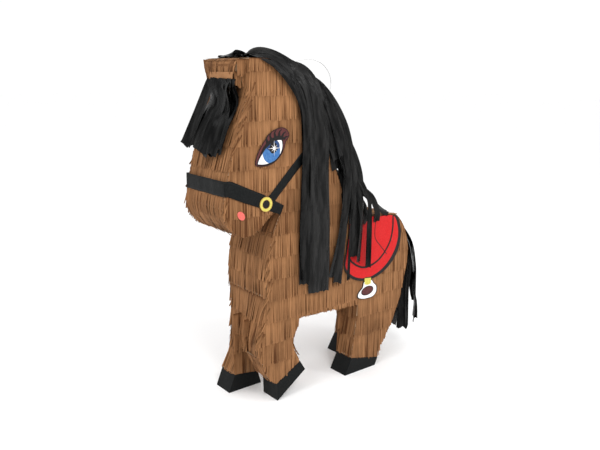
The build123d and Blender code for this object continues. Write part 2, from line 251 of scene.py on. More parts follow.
irisShade = paperMaterial("irisShade", (0.010, 0.030, 0.09), (0.020, 0.055, 0.16))
print("materials done")


def addMesh(name, points, faces, materials, strand=None, tint=None, which=None, smooth=True):
    # strand and tint are per point, which is the material's number per face
    mesh = bpy.data.meshes.new(name)
    faces = faces.tolist() if isinstance(faces, np.ndarray) else faces
    mesh.from_pydata(np.asarray(points, float).reshape(-1, 3).tolist(), [], faces)
    for material in materials:
        mesh.materials.append(material)
    if which is not None:
        mesh.polygons.foreach_set("material_index", np.asarray(which, np.int32))
    if strand is not None:
        corners = np.empty(len(mesh.loops), np.int32)
        mesh.loops.foreach_get("vertex_index", corners)
        layer = mesh.uv_layers.new(name="strand")
        layer.data.foreach_set("uv", np.asarray(strand, np.float32).reshape(-1, 2)[corners].ravel())
    if tint is not None:
        attribute = mesh.attributes.new("tint", "FLOAT", "POINT")
        attribute.data.foreach_set("value", np.asarray(tint, np.float32).ravel())
    mesh.polygons.foreach_set("use_smooth", np.full(len(mesh.polygons), smooth))
    mesh.update()
    return addObject(name, mesh)


def gridFaces(count, levels, columns):
    # quads of count separate grids, each levels by columns points, one after another
    first = np.arange(count)[:, None, None] * levels * columns
    corner = first + np.arange(levels - 1)[None, :, None] * columns + np.arange(columns - 1)[None, None, :]
    return np.stack([corner, corner + 1, corner + columns + 1, corner + columns], -1).reshape(-1, 4)


def unit(vectors):
    return vectors / np.maximum(np.linalg.norm(vectors, axis=-1, keepdims=True), 1e-12)


def strips(centre, outward, halfWidth, columns=2, cup=0.0, turned=0.0):
    # each strip: points across the line by along x outward, turned about the line, and dished by
    # cup times the square of the place across
    along = unit(np.gradient(centre, axis=1))
    across = unit(np.cross(along, outward))
    face = unit(np.cross(across, along))
    angle = np.broadcast_to(turned, centre.shape[:2])[..., None]
    across, face = (
        across * np.cos(angle) + face * np.sin(angle), face * np.cos(angle) - across * np.sin(angle)
    )
    place = np.linspace(-1, 1, columns)[None, None, :, None]
    width = np.broadcast_to(halfWidth, centre.shape[:2])[..., None, None]
    dish = np.broadcast_to(cup, centre.shape[:2])[..., None, None]
    points = centre[:, :, None] + across[:, :, None] * place * width - face[:, :, None] * dish * (place ** 2)
    length = np.cumsum(np.linalg.norm(np.diff(centre, axis=1, prepend=centre[:, :1]), axis=-1), axis=1)
    uv = np.stack(np.broadcast_arrays((place * width)[..., 0], length[..., None]), -1)
    return points, uv


class Strands:
    # gathers strips of one grid size into one mesh
    def __init__(self, levels, columns):
        self.levels, self.columns = levels, columns
        self.points, self.uv, self.tint = [], [], []

    def add(self, points, uv, tint):
        shift = rng.random((len(points), 1, 1, 2)) * 40
        self.points.append(points.reshape(-1, self.levels, self.columns, 3))
        self.uv.append(uv + shift)
        self.tint.append(np.broadcast_to(tint, points.shape[:3]))

    def build(self, name, material):
        points = np.concatenate(self.points)
        faces = gridFaces(len(points), self.levels, self.columns)
        return addMesh(name, points, faces, [material], np.concatenate(self.uv), np.concatenate(self.tint))


# The side view's outlines, read from the card panels
def outlineOf(node, x):
    # the edges, as (y, z) pairs, that only one triangle of the flat face at x uses
    mesh = nodes[node].data
    mesh.calc_loop_triangles()
    places = np.empty(len(mesh.vertices) * 3)
    mesh.vertices.foreach_get("co", places)
    corners = np.empty(len(mesh.loop_triangles) * 3, np.int32)
    mesh.loop_triangles.foreach_get("vertices", corners)
    triangles = places.reshape(-1, 3)[corners].reshape(-1, 3, 3)
    flat = triangles[np.abs(triangles[:, :, 0] - x).max(1) < 2e-5][:, :, 1:]
    ends = np.stack([flat, np.roll(flat, -1, axis=1)], 2).reshape(-1, 2, 2)
    keys = np.round(ends * 1e6).astype(np.int64)
    keys = np.sort(keys[..., 0] * 10_000_000 + keys[..., 1], axis=1)
    _, first, used = np.unique(keys, axis=0, return_index=True, return_counts=True)
    return ends[first[used == 1]]


def divisor(step):
    # the same steps, with 1 where one is too small to divide by
    return np.where(np.abs(step) < 1e-12, 1.0, step)


def crossings(edges, axis, values, most=8):
    # where the line at each value of that axis crosses the outline, sorted, then infinity
    a, b = edges[:, 0], edges[:, 1]
    values = np.asarray(values, float)[:, None]
    inside = (a[:, axis] > values) != (b[:, axis] > values)
    share = (values - a[:, axis]) / divisor(b[:, axis] - a[:, axis])
    found = a[:, 1 - axis] + share * (b[:, 1 - axis] - a[:, 1 - axis])
    return np.sort(np.where(inside, found, np.inf), axis=1)[:, :most]


def crossingAt(edges, axis, values, index):
    # one crossing of each line, counted from the last real one if index is negative
    found = crossings(edges, axis, values)
    if index >= 0:
        return found[:, index]
    number = np.isfinite(found).sum(1)
    return np.take_along_axis(found, (number + index)[:, None], axis=1)[:, 0]


leftEdges = outlineOf("left_side_panel", halfCard)
rightEdges = outlineOf("right_side_panel", -halfCard)
print("outlines", len(leftEdges), len(rightEdges))


def within(outline, y, z):
    # even-odd test of many points against one closed outline
    a, b = outline, np.roll(outline, -1, axis=0)
    y, z = np.asarray(y)[..., None], np.asarray(z)[..., None]
    straddles = (a[:, 1] > z) != (b[:, 1] > z)
    at = a[:, 0] + (z - a[:, 1]) / divisor(b[:, 1] - a[:, 1]) * (b[:, 0] - a[:, 0])
    return (straddles & (y < at)).sum(-1) % 2 == 1


def catmullRom(p0, p1, p2, p3, t):
    # the curve from p1 to p2 at share t, with p0 and p3 beyond them
    square = 2 * p0 - 5 * p1 + 4 * p2 - p3
    cube = 3 * p1 - p0 - 3 * p2 + p3
    return 0.5 * (2 * p1 + (p2 - p0) * t + square * t ** 2 + cube * t ** 3)


def smoothLoop(points, perSpan=8):
    # curve round a closed set of points
    p = np.asarray(points, float)
    t = (np.arange(perSpan) / perSpan)[None, :, None]
    return catmullRom(*(np.roll(p, k, axis=0)[:, None] for k in (1, 0, -1, -2)), t).reshape(-1, p.shape[1])


def smoothLine(points, samples):
    # curves through points[n, k], as samples evenly spread in parameter
    p = np.asarray(points, float)
    p = np.concatenate([2 * p[:, :1] - p[:, 1:2], p, 2 * p[:, -1:] - p[:, -2:-1]], axis=1)
    u = np.linspace(0, p.shape[1] - 3 - 1e-9, samples)
    i, t = u.astype(int), (u - u.astype(int))[None, :, None]
    return catmullRom(*(p[:, i + k] for k in range(4)), t)


# Hanging loop: (x, y, z) as drawn, up out of the crest, over and back into it
loopDiameter = 0.0016
loopPoints = [tuple(point) for point in inSpace([
    (0, 23.5, 459.5), (0, 42, 478), (2, 73, 495), (4, 110, 494), (5, 134, 471), (4, 129, 438),
    (1, 100, 405), (0, 73, 389),
]).tolist()]
loopData = bpy.data.curves.new("hangingLoop", "CURVE")
loopData.dimensions = "3D"
loopData.bevel_depth = loopDiameter / 2
loopData.bevel_resolution = 4
loopData.resolution_u = 24
spline = loopData.splines.new("NURBS")
spline.points.add(len(loopPoints) - 1)
for point, place in zip(spline.points, loopPoints):
    point.co = (*place, 1)
spline.order_u = 3
spline.use_endpoint_u = True
loopObject = addObject("hangingLoop", loopData)
cordMaterial, tree, shader = startMaterial("whiteCord")
lay = put(tree, "Mapping", {"Vector": objectPlace(tree), "Rotation": (0.5, 0.7, 0.4)})
twist = put(tree, "TexWave", {"Vector": lay.outputs[0], "Scale": 260.0, "Distortion": 0.8}).outputs["Fac"]
feed(tree, shader.inputs["Base Color"], ramp(tree, twist, (0, (0.66, 0.66, 0.66)), (1, (0.88, 0.88, 0.88))))
shader.inputs["Roughness"].default_value = 0.6
bump(tree, shader, twist, 0.0003)
loopData.materials.append(cordMaterial)
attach(loopObject, "horse")
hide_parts("hanging_loop")
print("hanging loop done")

# Outlines of the printed pieces, for both sides; the fringe lies flatter under them
eyeOutline = smoothLoop(fromDrawing([
    (-38.5, 356), (-36, 367), (-29.5, 378), (-22, 388), (-14, 396), (-3, 401), (7, 402), (15, 397.5),
    (17, 390.5), (11.5, 383), (8.5, 374), (2.5, 364.5), (-9, 355.8), (-22, 352.6), (-34, 352.8),
]))
saddleOutline = smoothLoop(fromDrawing([
    (138, 262.5), (170, 259), (205, 255), (237, 251), (247, 236), (250, 214), (242.5, 188), (222, 167),
    (194, 155), (165, 154.5), (140, 164), (126.5, 181), (127.5, 200), (132.5, 231),
]))
stirrupOutline = smoothLoop(fromDrawing([
    (170, 153), (166, 143), (157, 135), (156, 128), (163, 124.3), (174, 122.5), (190, 123), (198, 129.5),
    (198, 140), (191, 147), (186, 153),
]))
nosebandOutline = fromDrawing([
    (-95, 339), (-80, 337), (-28, 314), (8, 295), (3, 282), (-28, 295), (-82, 316), (-95, 320),
])
cheekOutline = fromDrawing([(-21, 305), (58, 384), (66, 374), (-12, 298)])
pressing = [eyeOutline, saddleOutline, stirrupOutline, nosebandOutline, cheekOutline]


def pressed(y, z):
    # whether a point of a side lies under something glued on it
    found = np.zeros(np.shape(y), bool)
    for outline in pressing:
        found |= within(outline, y, z)
    return found


# Fringe, in metres: a strand's width; how far it reaches over the next row, how uneven and slanting
# its end is; its height off the card at the top and the tip, how far a loose one stands off, which
# share isn't loose; how far it swings sideways and towards the front edge within reach of it; how
# far its top goes under the row above; the shortest one; its height under a print; its turn in
# radians; its widening so that neighbours touch
fringe = {
    "levels": 5, "narrow": 0.0008, "wide": 0.0025, "overlap": 0.0020, "ragged": 0.0018, "tip": 0.0012,
    "base": 0.0003, "lift": 0.00055, "curl": 0.0013, "loose": 0.92, "sway": 0.0006, "lean": 0.0,
    "reach": 0.014, "head": 0.003, "shortest": 0.005, "pressed": 0.0010, "turn": 0.22, "lap": 1.04,
}
# Plain strips behind the fringe: their spacing on a side and across a narrow face, half widths,
# how far off the card they are, the shortest one, their tint, darker than the strands as painted
# shade in the gaps between them, and how many path steps one spans
backing = {
    "step": 0.0025, "across": 0.004, "half": 0.00125 * 1.02, "acrossHalf": 0.00205, "off": 0.00015,
    "shortest": 0.004, "tint": 0.34, "span": 8,
}


def alongStrand(levels):
    # places from a strand's top, 0, to its tip, 1, closer together at the top
    return (np.linspace(0, 1, levels) ** 1.5)[None, :]


def cutAcross(low, high, settings):
    # centres and half widths of strips cut side by side from low to high, of uneven width
    widths = rng.uniform(settings["narrow"], settings["wide"], int((high - low) / settings["narrow"]) + 2)
    ends = low + np.cumsum(widths)
    keep = ends < high + widths / 2
    ends, widths = ends[keep], widths[keep]
    return ends - widths / 2, widths / 2


def liftAlong(count, settings):
    # a strand's height off the card: flat at its glued top, rising as v^1.4 to its own tip
    v = alongStrand(settings["levels"])
    tip = settings["lift"] * (0.5 + rng.random((count, 1)))
    flyaway = (rng.random((count, 1)) > settings["loose"]) * rng.random((count, 1)) * 1.6
    tip = tip + settings["curl"] * flyaway
    return settings["base"] + tip * v ** 1.4


def strandToneAndShade(count, levels):
    # random tone per strand; painted shade lower down on a few strands, for the shaded gaps where strands
    # lift apart; painted shade at the top, where the row above shades it; a little paler towards the tip
    v = alongStrand(levels)
    tone = 0.46 + 0.40 * rng.random((count, 1)) + 0.05 * rng.standard_normal((1, 1))
    shadeSlit = (rng.random((count, 1)) > 0.89) * (0.3 + 0.5 * rng.random((count, 1)))
    return np.clip(tone - shadeSlit * np.clip(v * 2, 0, 1) - 0.7 * (1 - v) ** 12 + 0.03 * v, 0, 1)


def sidewards(centre, side):
    # the direction out of a side, for every point of centre
    outward = np.zeros_like(centre)
    outward[..., 0] = side
    return outward


def sideFringe(into, edges, side, settings):
    # rows of strands on a side plane, each strand hanging straight down between its row's seam
    # and the next one, or the card's edge
    v = alongStrand(settings["levels"])
    for row in range(rowCount):
        seamTop = rowStart + rowPitch * (row + 1)
        seamLow = rowStart + rowPitch * row if row else 0.0
        centres, halves = cutAcross(edges[..., 0].min(), edges[..., 0].max(), settings)
        found = crossings(edges, 0, centres)
        for pair in range(3):
            bottom, top = found[:, 2 * pair], found[:, 2 * pair + 1]
            start = np.minimum(top, seamTop + settings["head"])
            stop = np.maximum(bottom - 0.0015, seamLow - settings["overlap"])
            keep = np.isfinite(bottom) & (start - stop > settings["shortest"])
            keep &= stop < seamTop - settings["head"]
            if not keep.any():
                continue
            y, half, start, stop = centres[keep], halves[keep], start[keep], stop[keep]
            count = len(y)
            stop = stop + settings["ragged"] * (rng.random(count) - 0.3)
            z = start[:, None] + (stop - start)[:, None] * v
            sway = settings["sway"] * rng.standard_normal((count, 1)) * v ** 1.5
            gap = y - crossingAt(edges, 1, np.clip(0.5 * (start + stop), 0.03, 0.488), 0)
            near = np.clip(1 - gap / settings["reach"], 0, 1)[:, None]
            place = y[:, None] + sway - settings["lean"] * near * v
            lift = liftAlong(count, settings)
            under = pressed(place, z).any(1, keepdims=True)
            lift = np.where(under, np.minimum(lift, settings["pressed"]), lift)
            centre = np.stack([side * (halfCard + lift), place, z], -1)
            turned = np.where(under, 0.0, settings["turn"]) * rng.standard_normal((count, 1)) * v
            width = half[:, None] * settings["lap"]
            points, uv = strips(centre, sidewards(centre, side), width, turned=turned)
            slantTips(points, settings["tip"])
            into.add(points, uv, strandToneAndShade(count, settings["levels"])[..., None])


def backingStrips(into, edges, side):
    # one plain strip the height of the card behind every few millimetres of fringe, in a darker tint as
    # painted shade between the strands
    y = np.arange(edges[..., 0].min() + backing["step"] / 2, edges[..., 0].max(), backing["step"])
    found = np.minimum(crossings(edges, 0, y), 1.0)  # 1 m for no crossing
    v = np.linspace(0, 1, into.levels)[None, :]
    for pair in range(3):
        bottom, top = found[:, 2 * pair], found[:, 2 * pair + 1]
        keep = top - bottom > backing["shortest"]
        if not keep.any():
            continue
        z = top[keep][:, None] + (bottom - top)[keep][:, None] * v
        x = np.full_like(z, side * (halfCard + backing["off"]))
        centre = np.stack([x, np.broadcast_to(y[keep][:, None], z.shape), z], -1)
        points, uv = strips(centre, sidewards(centre, side), backing["half"])
        into.add(points, uv, np.full(z.shape, backing["tint"])[..., None])


def slantTips(points, amount):
    # cut each strand's end at its own slant
    points[:, -1, :, 2] += amount * (rng.random((len(points), points.shape[2])) - 0.5)


def pathFringe(
    into, path, seams, sign, settings=fringe, across=acrossBody, lowPath=None, overlapLast=True, press=None,
):
    # rows of strands along a side-view path carried across the body. The path at each x lies
    # between lowPath, at the lowest x, and path; seams are places along it, as indices
    lowX, highX = across
    lowPath = path if lowPath is None else lowPath
    count = len(path)
    spacing = np.linalg.norm(np.diff(lowPath, axis=0), axis=1).mean()
    v = alongStrand(settings["levels"])

    def at(x, u):
        share = np.clip((x - lowX) / (highX - lowX), 0, 1)[..., None]
        inner = np.clip(u, 0, count - 1.001)
        i, t = inner.astype(int), (inner - inner.astype(int))[..., None]
        lowStep, highStep = lowPath[i + 1] - lowPath[i], path[i + 1] - path[i]
        step = lowStep * (1 - share) + highStep * share
        base = (lowPath[i] + lowStep * t) * (1 - share) + (path[i] + highStep * t) * share
        direction = unit(step)
        normal = np.stack([direction[..., 1], -direction[..., 0]], -1) * sign
        return base + step * (u - inner)[..., None], normal

    def build(x, u, half, lift, tint, turned):
        base, normal = at(x, u)
        centre = np.concatenate([x[..., None], base + normal * lift[..., None]], -1)
        outward = np.concatenate([np.zeros_like(x)[..., None], normal], -1)
        points, uv = strips(centre, outward, half, turned=turned)
        into.add(points, uv, tint[..., None])

    x = np.arange(lowX + backing["across"] / 2, highX, backing["across"])
    for u0 in np.arange(0, count - 1, backing["span"]):
        u = u0 + min(backing["span"], count - 1 - u0) * np.broadcast_to(v, (len(x), v.size))
        half, off, tint = (np.full(u.shape, backing[key]) for key in ("acrossHalf", "off", "tint"))
        build(np.broadcast_to(x[:, None], u.shape), u, half, off, tint, 0.0)
    for row, (u0, u1) in enumerate(zip(seams[:-1], seams[1:])):
        centres, halves = cutAcross(lowX, highX, settings)
        number = len(centres)
        extra = settings["overlap"] / spacing if overlapLast or row < len(seams) - 2 else 0.0
        ragged = settings["ragged"] / spacing * (rng.random((number, 1)) - 0.3)
        ragged = ragged if extra else -np.abs(ragged)
        head = settings["head"] / spacing if row > 0 else 0.0
        u = (u0 - head) + (u1 + extra + ragged - u0 + head) * v
        sway = settings["sway"] * rng.standard_normal((number, 1)) * v ** 1.5
        x = np.clip(centres[:, None] + sway, lowX - 0.001, highX + 0.001)
        lift = liftAlong(number, settings)
        if press is not None:
            lift = np.where(press(u), np.minimum(lift, settings["pressed"]), lift)
        turned = settings["turn"] * rng.standard_normal((number, 1)) * v
        half = np.broadcast_to(halves[:, None] * settings["lap"], u.shape)
        build(x, u, half, lift, strandToneAndShade(number, settings["levels"]), turned)


def pathDown(edges, index, zHigh, zLow, step=0.004):
    # the outline's crossing number index, from zHigh down to zLow
    z = np.arange(zHigh, zLow - 1e-9, -step)
    return np.stack([crossingAt(edges, 1, z, index), z], -1)


def pathAlong(edges, index, yLow, yHigh, step=0.004):
    y = np.arange(yLow, yHigh + 1e-9, step)
    return np.stack([y, crossingAt(edges, 0, y, index)], -1)


def even(path, step=0.004):
    # the same path in even steps of length
    length = np.concatenate([[0], np.cumsum(np.linalg.norm(np.diff(path, axis=0), axis=1))])
    places = np.linspace(0, length[-1], max(3, int(length[-1] / step)))
    return np.stack([np.interp(places, length, path[:, k]) for k in (0, 1)], -1)


def seamsAtRows(path):
    # indices along a falling path where the body's row seams cross it
    z = path[:, 1]
    levelsOfRow = rowStart + rowPitch * np.arange(rowCount, -1, -1)
    levelsOfRow = levelsOfRow[(levelsOfRow < z[0] - 0.004) & (levelsOfRow > z[-1] + 0.004)]
    inner = np.interp(-levelsOfRow, -z, np.arange(len(z)))
    return np.concatenate([[0], inner, [len(z) - 1]])


def seamsEvenly(path, pitch=rowPitch):
    length = np.linalg.norm(np.diff(path, axis=0), axis=1).sum()
    return np.linspace(0, len(path) - 1, max(1, round(length / pitch)) + 1)


def fringePiece(strands, name, body, *replaced):
    made = strands.build(name, brownTissue)
    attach(made, body)
    if replaced:
        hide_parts(*replaced)


sideSettings = dict(fringe, lean=0.003)
for (side, word), edges in zip(bothSides, (leftEdges, rightEdges)):
    sideFaces = Strands(fringe["levels"], 2)
    backingStrips(sideFaces, edges, side)
    sideFringe(sideFaces, edges, side, sideSettings)
    fringePiece(sideFaces, word + "SideFringe", "horse", word + "_side_tissue")
print("side fringe done")

# The narrow faces between the panels. Heights and lengths are where one face turns into the next;
# the belly rises towards the front by its slope
bodyEdges = {
    "forehead": 0.4915, "poll": -0.1634, "muzzleFront": 0.285, "throat": 0.289, "jawEnd": -0.1204,
    "chestLow": 0.162, "crotch": 0.074, "withers": 0.0206, "croup": 0.1206, "croupZ": 0.2525,
    "rumpLow": 0.114, "bellyFront": -0.0764, "bellyRear": 0.0396, "bellyZ": 0.1220, "slope": 0.005 / 0.118,
}

rough = dict(
    fringe, levels=9, wide=0.0030, ragged=0.0036, lift=0.0008, curl=0.0018, loose=0.82, pressed=0.0009,
)
frontFaces = Strands(rough["levels"], 2)
forehead = pathDown(leftEdges, 0, bodyEdges["forehead"], bodyEdges["muzzleFront"])
underJaw = pathAlong(leftEdges, -2, forehead[-1, 0] + 0.002, bodyEdges["jawEnd"], 0.003)
faceLine = even(np.concatenate([forehead, underJaw]))
faceSeams = seamsAtRows(faceLine[: len(even(forehead))])
jawSeams = faceSeams[-1] + np.linspace(0, len(faceLine) - 1 - faceSeams[-1], 4)[1:]
nosebandLow, nosebandHigh = 0.311, 0.343


def underNoseband(u):
    height = np.interp(u, np.arange(len(faceLine)), faceLine[:, 1])
    return ((height > nosebandLow) & (height < nosebandHigh)).any(1, keepdims=True)


allSeams = np.concatenate([faceSeams, jawSeams])
pathFringe(frontFaces, faceLine, allSeams, 1, rough, overlapLast=False, press=underNoseband)
chestLine = pathDown(leftEdges, -2, bodyEdges["throat"], bodyEdges["chestLow"])
pathFringe(frontFaces, chestLine, seamsAtRows(chestLine), 1, rough)
apronLeft, apronRight = (
    pathDown(edges, 0, bodyEdges["chestLow"], bodyEdges["crotch"]) for edges in (leftEdges, rightEdges)
)
apronRough = dict(rough, curl=0.0025, loose=0.8)
pathFringe(frontFaces, apronLeft, seamsAtRows(apronLeft), 1, apronRough, lowPath=apronRight)
fringePiece(
    frontFaces, "frontFringe", "horse", "forehead_tissue", "muzzle_tissue", "chest_tissue",
    "chest_apron_tissue",
)
print("front fringe done")

topFaces = Strands(fringe["levels"], 2)
flat = dict(fringe, lift=0.0006, curl=0.0008, overlap=0.0025)
crestPath = pathAlong(leftEdges, -1, bodyEdges["poll"] + 0.001, bodyEdges["withers"], 0.001)
crestLine, crestFine = even(crestPath), even(crestPath, 0.001)
pathFringe(topFaces, crestLine, seamsEvenly(crestLine), -1, flat)
rumpLine = pathDown(leftEdges, -1, bodyEdges["croupZ"], bodyEdges["rumpLow"])
pathFringe(topFaces, rumpLine, seamsAtRows(rumpLine), -1)
# flap: its front edge behind the withers, length, half width and the gap round it; then how far
# behind the withers the back ends
flap = {"low": 0.018, "long": 0.065, "half": 0.030, "gap": 0.0006, "backLong": 0.1007}
backLine = even(pathAlong(leftEdges, -1, bodyEdges["withers"] + 0.001, bodyEdges["croup"]), 0.002)


def alongBack(first, last):
    # the stretch of the back from first to last metres behind the withers
    direction = unit(backLine[-1] - backLine[0])
    places = np.linspace(first - 0.001, last - 0.001, max(3, int((last - first) / 0.002)))
    return backLine[0] + places[:, None] * direction


mouthFront, mouthRear = flap["low"] - flap["gap"], flap["low"] + flap["long"] + flap["gap"]
mouthHalf = flap["half"] + flap["gap"]
close = dict(flat, ragged=0.0008)
for first, last, across in (
    (0.001, mouthFront, acrossBody), (mouthRear, flap["backLong"], acrossBody),
    (mouthFront, mouthRear, (-halfCard, -mouthHalf)), (mouthFront, mouthRear, (mouthHalf, halfCard)),
):
    stretch = alongBack(first, last)
    pathFringe(topFaces, stretch, seamsEvenly(stretch), -1, close, across, overlapLast=first == mouthRear)
fringePiece(topFaces, "topFringe", "horse", "crest_tissue", "back_tissue", "rump_tissue")

flapStrands = Strands(fringe["levels"], 2)
onFlap = alongBack(flap["low"], flap["low"] + flap["long"])
acrossFlap = (-flap["half"], flap["half"])
pathFringe(flapStrands, onFlap, seamsEvenly(onFlap), -1, close, acrossFlap, overlapLast=False)
fringePiece(flapStrands, "flapFringe", "flap", "fill_flap_tissue")
print("top fringe done")

# Legs: front and rear faces, inner faces and the belly between them. Each face: which crossing of
# the outline it is, its top, its foot and which way it looks
innerX = 0.0152
legFaces = Strands(fringe["levels"], 2)
legRough = dict(rough, levels=fringe["levels"])
for edges, across, faces in (
    (leftEdges, (innerX, halfCard),
     ((0, 0.074, 0.030, 1), (1, 0.119, 0.054, -1), (2, 0.114, 0.028, 1), (3, 0.114, 0.024, -1))),
    (rightEdges, (-halfCard, -innerX),
     ((0, 0.074, 0.029, 1), (1, 0.119, 0.023, -1), (2, 0.114, 0.030, 1), (3, 0.114, 0.020, -1))),
):
    for index, high, low, sign in faces:
        line = pathDown(edges, index, high, low, 0.003)
        line = line[np.isfinite(line[:, 0])]
        pathFringe(legFaces, line, seamsAtRows(line), sign, legRough, across)


def bellyHeight(y):
    return bodyEdges["bellyZ"] - (y - bodyEdges["bellyFront"]) * bodyEdges["slope"]


for first, last, number, across in (
    (bodyEdges["bellyFront"], bodyEdges["bellyRear"], 30, acrossBody),
    (-0.131, bodyEdges["bellyFront"], 20, (-innerX, innerX)),
    (bodyEdges["bellyRear"], 0.138, 20, (-innerX, innerX)),
):
    y = np.linspace(first, last, number)
    line = np.stack([y, bellyHeight(y)], -1)
    pathFringe(legFaces, line, seamsEvenly(line), 1, flat, across)
print("leg faces done")

inner = {"step": 0.003, "half": 0.0018, "turn": 0.3, "underBelly": 0.0005, "rows": 3}
innerFaces = Strands(fringe["levels"], 2)
v = alongStrand(fringe["levels"])
for side, edges in ((1, leftEdges), (-1, rightEdges)):
    for low, high in ((-0.160, bodyEdges["bellyFront"] + 0.014), (bodyEdges["bellyRear"] - 0.02, 0.150)):
        y = np.arange(low, high, inner["step"])
        lowest = crossingAt(edges, 0, y, 0)
        for row in range(inner["rows"]):
            seamTop = rowStart + rowPitch * (row + 1) + fringe["head"]
            top = np.minimum(bellyHeight(y) - inner["underBelly"], seamTop)
            stop = np.maximum(lowest, (rowStart + rowPitch * row if row else 0.0) - fringe["overlap"])
            keep = np.isfinite(lowest) & (top - stop > fringe["shortest"])
            if not keep.any():
                continue
            count = keep.sum()
            z = top[keep][:, None] + (stop - top)[keep][:, None] * v
            lift = liftAlong(count, fringe)
            sway = fringe["sway"] * rng.standard_normal((count, 1)) * v
            centre = np.stack([side * (innerX - lift), y[keep][:, None] + sway, z], -1)
            turned = inner["turn"] * rng.standard_normal((count, 1)) * v
            points, uv = strips(centre, sidewards(centre, -side), inner["half"], turned=turned)
            innerFaces.add(points, uv, strandToneAndShade(count, fringe["levels"])[..., None])
fringePiece(
    legFaces, "legFringe", "horse", "belly_tissue", "left_front_tissue", "right_front_tissue",
    "left_hind_tissue", "right_hind_tissue",
)
fringePiece(innerFaces, "innerLegFringe", "horse")
print("leg fringe done")

# Strands that start on a side near a front corner and wrap round it, slanting down. Each range:
# lowest and highest start, how many strands, which crossing of the outline the corner is
corner = {
    "levels": 8, "behind": (0.003, 0.010), "beyond": (0.002, 0.007), "drop": (0.026, 0.040), "round": 0.0022,
    "ranges": ((0.380, 0.468, 10, 0), (0.285, 0.312, 2, 0), (0.150, 0.262, 10, -2), (0.085, 0.150, 7, 0)),
    "lift": 0.0009, "rise": 0.0006, "half": (0.0006, 0.0014), "turn": 0.25, "paler": 0.04,
}
cornerStrands = Strands(corner["levels"], 2)
v = np.linspace(0, 1, corner["levels"])[None, :]
for side, edges in ((1, leftEdges), (-1, rightEdges)):
    for low, high, number, index in corner["ranges"]:
        start = rng.uniform(low, high, (number, 1))
        z = start - rng.uniform(*corner["drop"], (number, 1)) * v
        behind = rng.uniform(*corner["behind"], (number, 1)) * (1 - v)
        w = -behind + rng.uniform(*corner["beyond"], (number, 1)) * v
        edge = crossingAt(edges, 1, z.ravel(), index).reshape(z.shape)
        bend = np.clip((w + corner["round"]) / (2 * corner["round"]), 0, 1)
        bend = bend * bend * (3 - 2 * bend) * math.pi / 2
        outward = np.stack([side * np.cos(bend), -np.sin(bend), np.zeros_like(z)], -1)
        base = np.stack([side * (halfCard - np.maximum(w, 0)), edge - np.minimum(w, 0), z], -1)
        lift = corner["lift"] * (1 + rng.random((number, 1))) + corner["rise"] * v
        half = rng.uniform(*corner["half"], (number, 1)) * (1 - 0.5 * v ** 3)
        turned = corner["turn"] * rng.standard_normal((number, 1)) * v
        points, uv = strips(base + outward * lift[..., None], outward, half, turned=turned)
        cornerStrands.add(points, uv, (strandToneAndShade(number, corner["levels"]) + corner["paler"])[..., None])
fringePiece(cornerStrands, "cornerFringe", "horse")

# Ears block: its fringe follows the front round from the top edge, between slanting sides, with
# looser strands standing out at both ends, more on the left
ears = {
    "top": 0.491, "low": 0.4585, "topHalf": 0.0418, "lowHalf": 0.0308, "fold": 0.4748,
    "flare": 0.0055, "leftFlare": 1.2, "rightFlare": 0.15, "ends": ((0.4912, 0.472), (0.4760, 0.457)),
    "across": np.arange(-0.1760, -0.1600, 0.0020), "off": 0.0005, "half": 0.0013, "turn": 0.2,
    "ragged": 0.0012,
}


def earReach(z):
    # half the block's width at a height
    share = np.clip((z - ears["low"]) / (ears["top"] - ears["low"]), 0, 1)
    return ears["lowHalf"] + (ears["topHalf"] - ears["lowHalf"]) * share


earStrands = Strands(fringe["levels"], 2)
earLine = even(fromDrawing([
    (-46, 491.5), (-56, 491.5), (-59.6, 487), (-60.6, 483), (-59.4, 476), (-58.6, 470), (-54.5, 461.5),
    (-50, 458.5),
]), 0.002)
foldPlace = np.interp(-ears["fold"], -earLine[6:, 1], np.arange(6, len(earLine)))
earSeams = np.array([0, 5, foldPlace, len(earLine) - 1])
earLoose = dict(fringe, lift=0.0007, curl=0.0018, loose=0.9)
pathFringe(earStrands, earLine, earSeams, 1, earLoose, (-ears["topHalf"], ears["topHalf"]))
for block in earStrands.points:
    block[..., 0] *= earReach(block[..., 2]) / ears["topHalf"]
y = ears["across"][:, None]
v = alongStrand(fringe["levels"])
for side, most in ((-1, ears["rightFlare"]), (1, ears["leftFlare"])):
    for top, stop in ears["ends"]:
        z = top + (stop - top + ears["ragged"] * rng.standard_normal(y.shape)) * v
        flare = ears["flare"] * (0.6 + 0.4 * rng.random(y.shape)) * v ** 1.5 * most
        place = y + fringe["sway"] * rng.standard_normal(y.shape) * v
        centre = np.stack([side * (earReach(z) + ears["off"] + flare), place, z], -1)
        turned = ears["turn"] * rng.standard_normal(y.shape) * v
        points, uv = strips(centre, sidewards(centre, side), ears["half"], turned=turned)
        earStrands.add(points, uv, strandToneAndShade(len(y), fringe["levels"])[..., None])
fringePiece(earStrands, "earFringe", "horse", "ears_tissue")
print("corner and ear fringe done")


